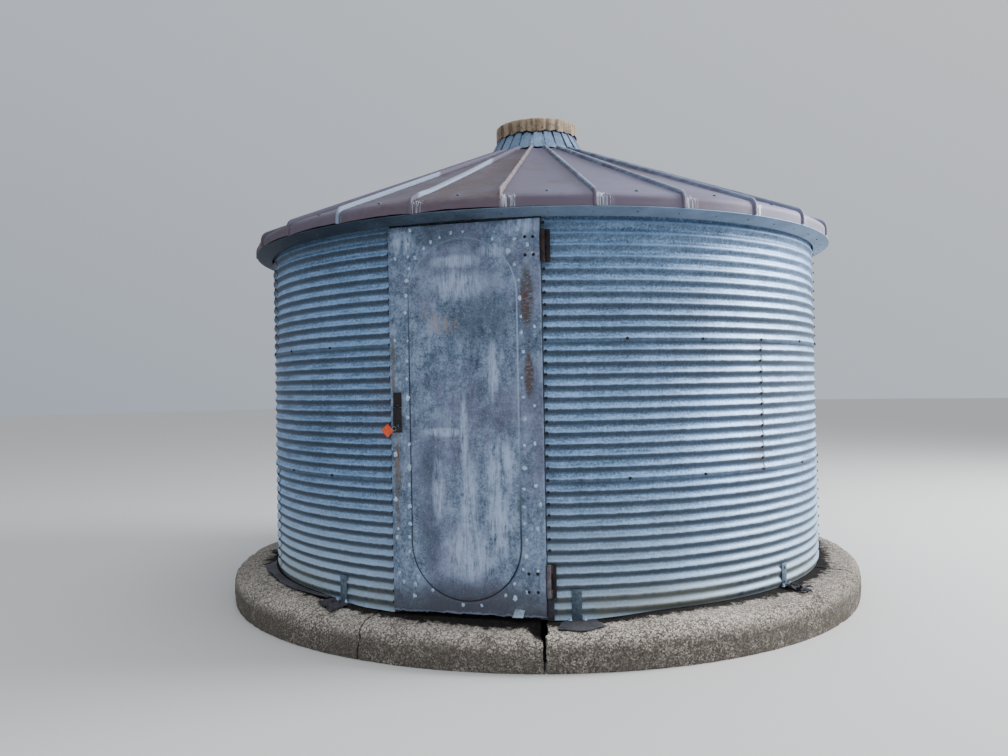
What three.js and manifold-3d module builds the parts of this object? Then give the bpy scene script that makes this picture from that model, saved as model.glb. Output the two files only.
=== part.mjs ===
// Round corrugated steel grain bin: three rings of bolted sheets on a round concrete footing,
// a ribbed conical sheet roof with a fill cap, and one flat steel door with a hasp.
// Millimetres, +Z up. The door faces -Y, and z = 0 is the ground under the footing.
// An azimuth is counted in degrees from -Y towards +X.

import * as THREE from 'three';
import { mergeVertices } from 'three/addons/utils/BufferGeometryUtils.js';
import Module from 'manifold-3d';

const wasm = await Module();
wasm.setup();

// Every round piece has the same 52 facets, two for each of the 26 roof panels.
const ROOF_PANELS = 26;
const FACETS = 2 * ROOF_PANELS;
const FACET = 360 / FACETS;
const GAP = 0.3;
const KNUCKLE_PLAY = 1.5;

// Heights below are counted from the top of the footing.
const PAD = { radius: 2450, height: 230, innerRadius: 1950, flatRadius: 2330 };
const PAD_EDGE = [[2392, -10], [2434, -34], [2450, -80]];
const CRACKS = [-15.5, 12.4, 77, 254];
const CRACK_WIDTH = 4;

const WALL = { radius: 2134, depth: 12.7, pitch: 67.733, skin: 3 };
const RING_CORRUGATIONS = [11, 12, 12];
const DOOR_BAY = 2 * FACET;
const SHORT_SHEET = 38.95;
const FULL_SHEETS = 4;

const ROOF = { edge: 2248, drip: 2343, bend: 60, sheet: 5, foot: 410, footHeight: 3188, slope: 22.74 };
const ROOF_HOLE = 300;
const RIB = { width: 28, height: 26, lipHeight: 12, topRadius: 425 };
const ROOF_SECTORS = { front: 7, right: 6, back: 7, left: 6 };
const FLASHING = { soffit: 2303, lip: 2230, outer: 2247, rise: 14, sheet: 4.7 };
const COLLAR = { foot: 412, shoulder: 320, shoulderHeight: 3340, neck: 304, rim: 3441, hem: 6.4, sheet: 4 };
const CAP = { radius: 336, skirtBottom: 3356, skirt: 4, shoulder: 3440, bevel: 10, edge: 3448, top: 3452 };

const DOOR = { half: 470, front: -2100, back: -2070, bottom: 10, top: 2296, sheet: 4 };
const OVAL = { centre: -9, half: 337, bottom: 65, top: 2205, proud: 3 };
const JAMB = { inner: 410, rebate: 476, stop: -2065, face: -2086, depth: 2040, reach: 2148, top: 2300 };
const HEADER = { bottom: 2240, top: 2340, back: -2025 };
const SILL_TOP = 45;

const HINGE = { x: 488, y: -2105, barrel: 12.5, pin: 5, bore: 5.8, length: 190, middle: 93 };
const HINGE_HEIGHTS = { lower: 203, upper: 2132 };
const HINGE_LEAF = { from: 505.5, to: 526, sheet: 5 };
const HINGE_STRAP = { from: 375, to: 464, half: 65 };

const HASP = { x: -424, half: 26, y: -2109, z: 1218, barrel: 5, pin: 2.2, bore: 3, knuckle: 10.5 };
const HASP_PLATE = { bottom: 1227, top: 1301, sheet: 5 };
const STRAP = { top: 1210, bottom: 1060, sheet: 5 };
const STAPLE = { z: 1100, half: 4, legOuter: 18, legInner: 12, front: -2128 };
const SLOT = { half: 11, height: 25 };
const TAG = { half: 42, neck: 4, z: 1072, sheet: 3 };

const ANCHOR_FACETS = [-3.5, 2.5, 8.5, 14.5, 20.5, 27.5, 34.5, 41.5];
const ANCHOR = { width: 60, height: 150, sheet: 5, foot: 95, footWidth: 76, footSheet: 6 };

const FINISH = {
  concrete: { color: 0x8f8879, roughness: 0.95, metalness: 0 },
  galvanized: { color: 0x8c9aa8, roughness: 0.5, metalness: 0.75 },
  doorZinc: { color: 0x808d99, roughness: 0.55, metalness: 0.7 },
  dullZinc: { color: 0x59656f, roughness: 0.6, metalness: 0.6 },
  rustedRoof: { color: 0x6b5555, roughness: 0.8, metalness: 0.2 },
  ochrePaint: { color: 0xa3834f, roughness: 0.75, metalness: 0 },
  rustedIron: { color: 0x3d2a28, roughness: 0.85, metalness: 0.3 },
  orangeTag: { color: 0xe0532a, roughness: 0.6, metalness: 0 },
};

const radians = THREE.MathUtils.degToRad;

// The unit vector that points out of the bin at an azimuth.
function outward(azimuth) {
  return new THREE.Vector3(Math.sin(radians(azimuth)), -Math.cos(radians(azimuth)), 0);
}

function isRealTriangle(a, b, c) {
  return a !== b && b !== c && c !== a;
}

// A closed three.js geometry as a solid, with its faces turned to point out.
function toSolid(geometry) {
  const bare = geometry.clone();
  bare.deleteAttribute('normal');
  bare.deleteAttribute('uv');
  const merged = mergeVertices(bare, 1e-3);
  const points = merged.getAttribute('position');
  const index = merged.index.array;
  const corner = [new THREE.Vector3(), new THREE.Vector3(), new THREE.Vector3()];
  const kept = [];
  let volume = 0;
  for (let i = 0; i < index.length; i += 3) {
    if (!isRealTriangle(index[i], index[i + 1], index[i + 2])) continue;
    kept.push(index[i], index[i + 1], index[i + 2]);
    corner.forEach((point, k) => point.fromBufferAttribute(points, index[i + k]));
    volume += corner[0].dot(corner[1].clone().cross(corner[2]));
  }
  if (volume < 0) kept.reverse();
  const mesh = new wasm.Mesh({
    numProp: 3,
    vertProperties: new Float32Array(points.array),
    triVerts: new Uint32Array(kept),
  });
  return new wasm.Manifold(mesh);
}

function toGeometry(solid) {
  const mesh = solid.getMesh();
  const geometry = new THREE.BufferGeometry();
  geometry.setAttribute('position', new THREE.BufferAttribute(new Float32Array(mesh.vertProperties), 3));
  geometry.setIndex(new THREE.BufferAttribute(new Uint32Array(mesh.triVerts), 1));
  geometry.computeVertexNormals();
  return geometry;
}

function joined(solids) {
  return solids.reduce((sum, solid) => sum.add(solid));
}

// An axis-aligned block between two corners.
function block(low, high) {
  const size = high.map((value, i) => value - low[i]);
  const geometry = new THREE.BoxGeometry(...size);
  geometry.translate(low[0] + size[0] / 2, low[1] + size[1] / 2, low[2] + size[2] / 2);
  return toSolid(geometry);
}

// A straight-sided solid over an outline of [x, y] points.
function prism(outline, bottom, top) {
  const shape = new THREE.Shape(outline.map(([x, y]) => new THREE.Vector2(x, y)));
  const geometry = new THREE.ExtrudeGeometry(shape, { depth: top - bottom, bevelEnabled: false });
  geometry.translate(0, 0, bottom);
  return toSolid(geometry);
}

// A shape drawn in x and z, given its thickness from one y to the next.
function upright(shape, front, back, curveSegments = 8) {
  const settings = { depth: back - front, bevelEnabled: false, curveSegments };
  const geometry = new THREE.ExtrudeGeometry(shape, settings);
  geometry.rotateX(Math.PI / 2);
  geometry.translate(0, back, 0);
  return toSolid(geometry);
}

function rodAlongZ(radius, x, y, bottom, top) {
  const geometry = new THREE.CylinderGeometry(radius, radius, top - bottom, 12);
  geometry.rotateX(Math.PI / 2);
  geometry.translate(x, y, (bottom + top) / 2);
  return toSolid(geometry);
}

function rodAlongX(radius, from, to, y, z) {
  const geometry = new THREE.CylinderGeometry(radius, radius, to - from, 12);
  geometry.rotateZ(Math.PI / 2);
  geometry.translate((from + to) / 2, y, z);
  return toSolid(geometry);
}

// A whole ring turned about the bin's axis from a closed outline of [radius, z] points.
function turned(outline) {
  const points = [...outline, outline[0]].map(([r, z]) => new THREE.Vector2(r, z));
  const geometry = new THREE.LatheGeometry(points, FACETS);
  geometry.rotateX(Math.PI / 2);
  return toSolid(geometry);
}

// The part of a ring between two azimuths, with half a joint's width left free at each end.
function sector(ring, from, to, joint = GAP) {
  const reach = 2 * PAD.radius;
  const steps = Math.ceil((to - from) / 30);
  const outline = [[0, 0]];
  for (let i = 0; i <= steps; i += 1) {
    const direction = outward(from + ((to - from) * i) / steps);
    outline.push([reach * direction.x, reach * direction.y]);
  }
  const shift = joint / 2 / Math.sin(radians((to - from) / 2));
  const bisector = outward((from + to) / 2).multiplyScalar(shift);
  const wedge = prism(outline, -reach, reach).translate([bisector.x, bisector.y, 0]);
  return ring.intersect(wedge);
}

// Footing: a floor slab inside a ring that has cracked through at four places.
function floorSlab() {
  const radius = PAD.innerRadius - GAP;
  const outline = [];
  for (let i = 0; i < FACETS; i += 1) {
    const direction = outward(i * FACET);
    outline.push([radius * direction.x, radius * direction.y]);
  }
  return prism(outline, -PAD.height, 0);
}

function footingRing() {
  return turned([
    [PAD.innerRadius, -PAD.height],
    [PAD.radius, -PAD.height],
    ...[...PAD_EDGE].reverse(),
    [PAD.flatRadius, 0],
    [PAD.innerRadius, 0],
  ]);
}

// One ring of the wall, with a crest at the middle of each corrugation.
function wallRing(bottom, corrugations) {
  const outline = [];
  for (let i = 0; i <= 2 * corrugations; i += 1) {
    const radius = i % 2 ? WALL.radius : WALL.radius - WALL.depth;
    outline.push([radius, bottom + (i * WALL.pitch) / 2]);
  }
  const inner = WALL.radius - WALL.depth - WALL.skin;
  const top = bottom + corrugations * WALL.pitch;
  outline.push([inner, top], [inner, bottom]);
  return turned(outline);
}

// The azimuths where one ring's sheets meet. The short sheet is at the door's right or left.
function sheetSeams(shortOnRight) {
  const first = DOOR_BAY;
  const last = 360 - DOOR_BAY;
  const full = (last - first - SHORT_SHEET) / FULL_SHEETS;
  const seams = [first];
  if (shortOnRight) seams.push(first + SHORT_SHEET);
  for (let i = 1; i <= FULL_SHEETS; i += 1) {
    seams.push((shortOnRight ? first + SHORT_SHEET : first) + i * full);
  }
  if (!shortOnRight) seams.push(last);
  return seams;
}

// The roof's outer face from the drip edge to a top radius, moved out by an offset.
function roofLine(offset, topRadius, lipOffset = offset) {
  const tilt = radians(ROOF.slope);
  const normal = Math.PI / 2 - tilt;
  const onCone = (radius) => ROOF.footHeight + (ROOF.foot - radius) * Math.tan(tilt);
  const centreRadius = ROOF.edge - ROOF.bend;
  const tangentRadius = centreRadius + ROOF.bend * Math.cos(normal);
  const centreHeight = onCone(tangentRadius) - ROOF.bend * Math.sin(normal);
  const points = [[ROOF.edge + lipOffset, ROOF.drip]];
  const arcSteps = 2;
  for (let i = 0; i <= arcSteps; i += 1) {
    const angle = (normal * i) / arcSteps;
    const reach = ROOF.bend + offset;
    points.push([centreRadius + reach * Math.cos(angle), centreHeight + reach * Math.sin(angle)]);
  }
  const out = [offset * Math.cos(normal), offset * Math.sin(normal)];
  points.push([topRadius + out[0], onCone(topRadius) + out[1]]);
  return points;
}

function roofShell() {
  return turned([...roofLine(0, ROOF_HOLE), ...roofLine(-ROOF.sheet, ROOF_HOLE).reverse()]);
}

// One standing rib, from its outline seen from the side.
function roofRib(azimuth) {
  const crest = roofLine(RIB.height, RIB.topRadius, RIB.lipHeight);
  const root = roofLine(-ROOF.sheet / 2, RIB.topRadius);
  const shape = new THREE.Shape([...crest, ...root.reverse()].map(([r, z]) => new THREE.Vector2(r, z)));
  const geometry = new THREE.ExtrudeGeometry(shape, { depth: RIB.width, bevelEnabled: false });
  geometry.translate(0, 0, -RIB.width / 2);
  const radial = outward(azimuth);
  const up = new THREE.Vector3(0, 0, 1);
  geometry.applyMatrix4(new THREE.Matrix4().makeBasis(radial, up, radial.clone().cross(up)));
  return toSolid(geometry);
}

function ribbedRoof() {
  const ribs = [];
  for (let i = 0; i < ROOF_PANELS; i += 1) {
    ribs.push(roofRib((2 * i + 1) * FACET));
  }
  return joined([roofShell(), ...ribs]);
}

// The eave flashing: a flange on the wall's crests, a sloped soffit and a lip under the drip edge.
function eaveFlashing() {
  const wall = WALL.radius + GAP;
  const lipTop = ROOF.drip - GAP;
  const { soffit, lip, outer, rise, sheet } = FLASHING;
  return turned([
    [wall, soffit],
    [outer, lipTop - sheet],
    [outer, lipTop],
    [lip, lipTop],
    [wall + sheet, soffit + rise],
    [wall + sheet, lipTop],
    [wall, lipTop],
  ]);
}

// The collar: a flared skirt that stands on the roof, and a neck that carries the cap.
function roofCollar() {
  const tan = Math.tan(radians(ROOF.slope));
  const roofAt = (radius) => ROOF.footHeight + (ROOF.foot - radius) * tan + GAP;
  const { foot, shoulder, shoulderHeight, neck, rim, hem, sheet } = COLLAR;
  const inner = foot - hem;
  return turned([
    [foot, roofAt(foot)],
    [shoulder, shoulderHeight],
    [neck, shoulderHeight + 2 * sheet],
    [neck, rim],
    [neck - sheet, rim],
    [neck - sheet, shoulderHeight],
    [shoulder - sheet, shoulderHeight - 2 * sheet],
    [inner, roofAt(inner)],
  ]);
}

function fillCap() {
  return turned([
    [0, COLLAR.rim + GAP],
    [CAP.radius - CAP.skirt, COLLAR.rim + GAP],
    [CAP.radius - CAP.skirt, CAP.skirtBottom],
    [CAP.radius, CAP.skirtBottom],
    [CAP.radius, CAP.shoulder],
    [CAP.radius - CAP.bevel, CAP.edge],
    [0, CAP.top],
  ]);
}

// A door post. Its outer side lies against the ends of the wall sheets.
function jamb(side) {
  const radial = outward(DOOR_BAY);
  const along = new THREE.Vector3(-radial.y, radial.x, 0).multiplyScalar(-GAP / 2);
  const corner = (radius) => radial.clone().multiplyScalar(radius).add(along);
  const outer = corner(JAMB.reach);
  const rear = corner(JAMB.depth);
  const outline = [
    [JAMB.rebate, JAMB.face],
    [outer.x, outer.y],
    [rear.x, rear.y],
    [JAMB.inner, rear.y],
    [JAMB.inner, JAMB.stop],
    [JAMB.rebate, JAMB.stop],
  ];
  return prism(outline.map(([x, y]) => [side * x, y]), GAP, JAMB.top);
}

function acrossDoorway(bottom, top) {
  const half = JAMB.inner - GAP;
  return block([-half, JAMB.stop, bottom], [half, HEADER.back, top]);
}

function stapleHole(front, back) {
  const x = [HASP.x - SLOT.half, HASP.x + SLOT.half];
  return block([x[0], front, STAPLE.z - SLOT.height], [x[1], back, STAPLE.z + SLOT.height]);
}

function ovalShape() {
  const shape = new THREE.Shape();
  shape.absarc(OVAL.centre, OVAL.top - OVAL.half, OVAL.half, 0, Math.PI);
  shape.absarc(OVAL.centre, OVAL.bottom + OVAL.half, OVAL.half, Math.PI, 2 * Math.PI);
  return shape;
}

// The door's outer skin, with folded edges, the pressed oval and openings for staple and hinges.
function doorPanel() {
  const { half, front, back, bottom, top, sheet } = DOOR;
  let panel = block([-half, front, bottom], [half, back, top]);
  const hollow = block(
    [sheet - half, front + sheet, bottom + sheet],
    [half - sheet, back + sheet, top - sheet],
  );
  panel = panel.subtract(hollow).add(upright(ovalShape(), front - OVAL.proud, front + 1, 12));
  for (const height of Object.values(HINGE_HEIGHTS)) {
    const notchHalf = HINGE.middle / 2 + GAP;
    const low = [half - 2 * sheet, front + sheet, height - notchHalf];
    const high = [half + sheet, front + 3 * sheet, height + notchHalf];
    panel = panel.subtract(block(low, high));
  }
  return panel.subtract(stapleHole(front - sheet, back + sheet));
}

function doorLiner() {
  const { half, back, bottom, top, sheet } = DOOR;
  const rim = sheet + GAP;
  const low = [rim - half, back - rim, bottom + rim];
  const high = [half - rim, back - GAP, top - rim];
  return block(low, high).subtract(stapleHole(back - 2 * sheet, back + sheet));
}

// The hinge half on the jamb: a leaf, two knuckles on webs, and the pin through all three knuckles.
function hingeFrameLeaf(height) {
  const { x, y, barrel, pin, length, middle } = HINGE;
  const low = height - length / 2;
  const high = height + length / 2;
  const back = JAMB.face - GAP;
  const front = back - HINGE_LEAF.sheet;
  const pieces = [
    block([HINGE_LEAF.from, front, low], [HINGE_LEAF.to, back, high]),
    rodAlongZ(pin, x, y, low, high),
  ];
  const clear = middle / 2 + KNUCKLE_PLAY;
  for (const [from, to] of [[low, height - clear], [height + clear, high]]) {
    pieces.push(rodAlongZ(barrel, x, y, from, to));
    pieces.push(block([x, y, from], [HINGE_LEAF.from + 1, back, to]));
  }
  return joined(pieces);
}

// The hinge half on the door: the middle knuckle, with a strap that runs in behind the skin.
function hingeDoorLeaf(height) {
  const { x, y, barrel, bore, length, middle } = HINGE;
  const front = DOOR.front + DOOR.sheet + GAP;
  const back = front + HINGE_LEAF.sheet;
  const half = middle / 2;
  const solid = joined([
    rodAlongZ(barrel, x, y, height - half, height + half),
    block([HINGE_STRAP.from, front, height - half], [x, back, height + half]),
    block(
      [HINGE_STRAP.from, front, height - HINGE_STRAP.half],
      [HINGE_STRAP.to, back, height + HINGE_STRAP.half],
    ),
  ]);
  return solid.subtract(rodAlongZ(bore, x, y, height - length / 2, height + length / 2));
}

function haspPlate() {
  const { x, half, y, z, barrel, pin, knuckle } = HASP;
  const back = DOOR.front - GAP;
  const front = back - HASP_PLATE.sheet;
  const pieces = [
    block([x - half, front, HASP_PLATE.bottom], [x + half, back, HASP_PLATE.top]),
    rodAlongX(pin, x - half, x + half, y, z),
  ];
  const clear = knuckle + KNUCKLE_PLAY;
  for (const [from, to] of [[x - half, x - clear], [x + clear, x + half]]) {
    pieces.push(rodAlongX(barrel, from, to, y, z));
    pieces.push(block([from, front, z], [to, back, HASP_PLATE.bottom + 1]));
  }
  return joined(pieces);
}

function haspStrap() {
  const { x, half, y, z, barrel, bore, knuckle } = HASP;
  const front = y - STRAP.sheet / 2;
  const back = y + STRAP.sheet / 2;
  const solid = joined([
    rodAlongX(barrel, x - knuckle, x + knuckle, y, z),
    block([x - knuckle, front, STRAP.top - 1], [x + knuckle, back, z - bore]),
    block([x - half, front, STRAP.bottom], [x + half, back, STRAP.top]),
  ]);
  return solid.subtract(rodAlongX(bore, x - half, x + half, y, z)).subtract(stapleHole(front - 1, back + 1));
}

// The staple: two legs from the jamb, joined in front of the strap.
function haspStaple() {
  const { z, half, legOuter, legInner, front } = STAPLE;
  const back = JAMB.stop - GAP;
  const x = [HASP.x - half, HASP.x + half];
  const whole = block([x[0], front, z - legOuter], [x[1], back, z + legOuter]);
  const rod = legOuter - legInner;
  return whole.subtract(block([x[0] - 1, front + rod, z - legInner], [x[1] + 1, back + 1, z + legInner]));
}

// A square tag hung by one corner from the strap's edge.
function sealTag() {
  const edge = HASP.x - HASP.half - GAP;
  const centre = edge - TAG.half + TAG.neck;
  const shape = new THREE.Shape([
    new THREE.Vector2(edge, TAG.z + TAG.neck),
    new THREE.Vector2(centre, TAG.z + TAG.half),
    new THREE.Vector2(centre - TAG.half, TAG.z),
    new THREE.Vector2(centre, TAG.z - TAG.half),
    new THREE.Vector2(edge, TAG.z - TAG.neck),
  ]);
  return upright(shape, HASP.y - TAG.sheet / 2, HASP.y + TAG.sheet / 2);
}

// A tie-down: a strap against the wall's crests with a foot on the footing.
function anchor(facet) {
  const azimuth = facet * FACET;
  const wall = WALL.radius * Math.cos(radians(FACET / 2)) + GAP;
  const { width, height, sheet, foot, footWidth, footSheet } = ANCHOR;
  const solid = joined([
    block([-width / 2, -wall - sheet, GAP], [width / 2, -wall, height]),
    block([-footWidth / 2, -wall - foot, GAP], [footWidth / 2, -wall, GAP + footSheet]),
  ]);
  return solid.rotate([0, 0, azimuth]);
}

const group = new THREE.Group();
const bin = new THREE.Group();
bin.position.z = PAD.height;
group.add(bin);

function place(name, solid, finish) {
  const mesh = new THREE.Mesh(toGeometry(solid), new THREE.MeshStandardMaterial(FINISH[finish]));
  mesh.name = name;
  bin.add(mesh);
}

place('floor_slab', floorSlab(), 'concrete');
const footing = footingRing();
['front', 'right', 'back', 'left'].forEach((side, i) => {
  const end = i + 1 < CRACKS.length ? CRACKS[i + 1] : CRACKS[0] + 360;
  place(`footing_${side}`, sector(footing, CRACKS[i], end, CRACK_WIDTH), 'concrete');
});

let ringBottom = GAP;
['bottom', 'middle', 'top'].forEach((ring, level) => {
  const whole = wallRing(ringBottom, RING_CORRUGATIONS[level]);
  const seams = sheetSeams(ring === 'middle');
  for (let i = 0; i + 1 < seams.length; i += 1) {
    place(`wall_${ring}_sheet_${i + 1}`, sector(whole, seams[i], seams[i + 1]), 'galvanized');
  }
  ringBottom += RING_CORRUGATIONS[level] * WALL.pitch + GAP;
});

const flashing = eaveFlashing();
place('eave_flashing_front', sector(flashing, -90, 90), 'dullZinc');
place('eave_flashing_back', sector(flashing, 90, 270), 'dullZinc');

const roof = ribbedRoof();
let sectorStart = -ROOF_SECTORS.front * FACET;
for (const [side, panels] of Object.entries(ROOF_SECTORS)) {
  const sectorEnd = sectorStart + 2 * panels * FACET;
  place(`roof_panels_${side}`, sector(roof, sectorStart, sectorEnd), 'rustedRoof');
  sectorStart = sectorEnd;
}
place('roof_collar', roofCollar(), 'dullZinc');
place('fill_cap', fillCap(), 'ochrePaint');

place('door_jamb_left', jamb(-1), 'dullZinc');
place('door_jamb_right', jamb(1), 'dullZinc');
place('door_header', acrossDoorway(HEADER.bottom, HEADER.top), 'dullZinc');
place('door_sill', acrossDoorway(GAP, SILL_TOP), 'dullZinc');
place('door_panel', doorPanel(), 'doorZinc');
place('door_liner', doorLiner(), 'doorZinc');
for (const [level, height] of Object.entries(HINGE_HEIGHTS)) {
  place(`hinge_${level}_frame_leaf`, hingeFrameLeaf(height), 'rustedIron');
  place(`hinge_${level}_door_leaf`, hingeDoorLeaf(height), 'rustedIron');
}
place('hasp_plate', haspPlate(), 'rustedIron');
place('hasp_strap', haspStrap(), 'rustedIron');
place('hasp_staple', haspStaple(), 'rustedIron');
place('seal_tag', sealTag(), 'orangeTag');
ANCHOR_FACETS.forEach((facet, i) => {
  place(`anchor_${i + 1}`, anchor(facet), 'dullZinc');
});

export default group;
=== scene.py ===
"""Round corrugated steel grain bin: its looks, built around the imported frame.

Three rings of lapped corrugated sheets stand on a cracked round footing, under a conical roof of
ribbed panels with a fingered collar and a painted cap. A flat pressed door hangs on two hinges.
Metres, +Z up, and the door faces -Y. An azimuth is counted in degrees from -Y towards +X.
"""

import logging
import math
from collections.abc import Callable, Mapping, Sequence
from dataclasses import dataclass
from enum import Enum
from random import Random
from typing import Any

import bmesh
import bpy
from mathutils import Matrix, Vector
from mathutils.noise import noise


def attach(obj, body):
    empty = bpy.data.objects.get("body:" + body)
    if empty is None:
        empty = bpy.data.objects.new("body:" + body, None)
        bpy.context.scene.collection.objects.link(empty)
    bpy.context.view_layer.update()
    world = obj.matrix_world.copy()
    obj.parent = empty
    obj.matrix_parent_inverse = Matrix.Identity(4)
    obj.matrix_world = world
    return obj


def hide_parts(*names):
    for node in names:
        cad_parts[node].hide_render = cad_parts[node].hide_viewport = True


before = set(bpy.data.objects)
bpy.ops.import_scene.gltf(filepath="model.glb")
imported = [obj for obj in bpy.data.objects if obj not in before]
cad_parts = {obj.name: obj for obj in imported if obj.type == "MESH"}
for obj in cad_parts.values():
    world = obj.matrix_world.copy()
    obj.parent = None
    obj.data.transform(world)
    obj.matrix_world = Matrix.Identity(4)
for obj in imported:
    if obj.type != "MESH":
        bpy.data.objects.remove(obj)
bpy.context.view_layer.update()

LOG = logging.getLogger("grain_bin")
FOOTING_TOP = 0.230
ROOF_PANELS = 26
PANEL = 360.0 / ROOF_PANELS
FACET = PANEL / 2.0
RING_STEPS = 104
PITCH = 0.067733
LOWER_HINGE = FOOTING_TOP + 0.203
UPPER_HINGE = FOOTING_TOP + 2.132

Colour = tuple[float, float, float, float]
Place = tuple[float, float, float]
Marks = tuple[tuple[float, ...], ...]
Points = Sequence[tuple[float, float]]
Rule = Callable[[float, float, float], Place]
Shape = bmesh.types.BMesh
Edges = list[bmesh.types.BMEdge]
Verts = list[bmesh.types.BMVert]


class Body(Enum):
    """The bodies that the pieces ride on."""

    BIN = "bin"
    DOOR = "door"
    HASP = "hasp"


class Slot(Enum):
    """The record's material slots."""

    CONCRETE = "concrete"
    GALVANIZED = "galvanized"
    DULL_ZINC = "dull_zinc"
    DOOR_ZINC = "door_zinc"
    RUSTED_ROOF = "rusted_roof"
    OCHRE_PAINT = "ochre_paint"
    RUSTED_IRON = "rusted_iron"
    ORANGE_TAG = "orange_tag"


class Signal:
    """A shader socket on which Python's operators do the maths."""

    def __init__(self, bench: "Bench", socket: bpy.types.NodeSocket) -> None:
        """Wraps one output socket of a bench's tree."""
        self.bench = bench
        self.socket = socket

    def __add__(self, other: "Signal | float") -> "Signal":
        """Adds a value."""
        return self.bench.maths("ADD", self, other)

    def __radd__(self, other: float) -> "Signal":
        """Adds to a number."""
        return self.bench.maths("ADD", other, self)

    def __sub__(self, other: "Signal | float") -> "Signal":
        """Subtracts a value."""
        return self.bench.maths("SUBTRACT", self, other)

    def __rsub__(self, other: float) -> "Signal":
        """Subtracts from a number."""
        return self.bench.maths("SUBTRACT", other, self)

    def __mul__(self, other: "Signal | float") -> "Signal":
        """Multiplies by a value."""
        return self.bench.maths("MULTIPLY", self, other)

    def __rmul__(self, other: float) -> "Signal":
        """Multiplies a number."""
        return self.bench.maths("MULTIPLY", other, self)

    def __truediv__(self, other: "Signal | float") -> "Signal":
        """Divides by a value."""
        return self.bench.maths("DIVIDE", self, other)

    def __pow__(self, other: float) -> "Signal":
        """Raises to a power."""
        return self.bench.maths("POWER", self, other)


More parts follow.
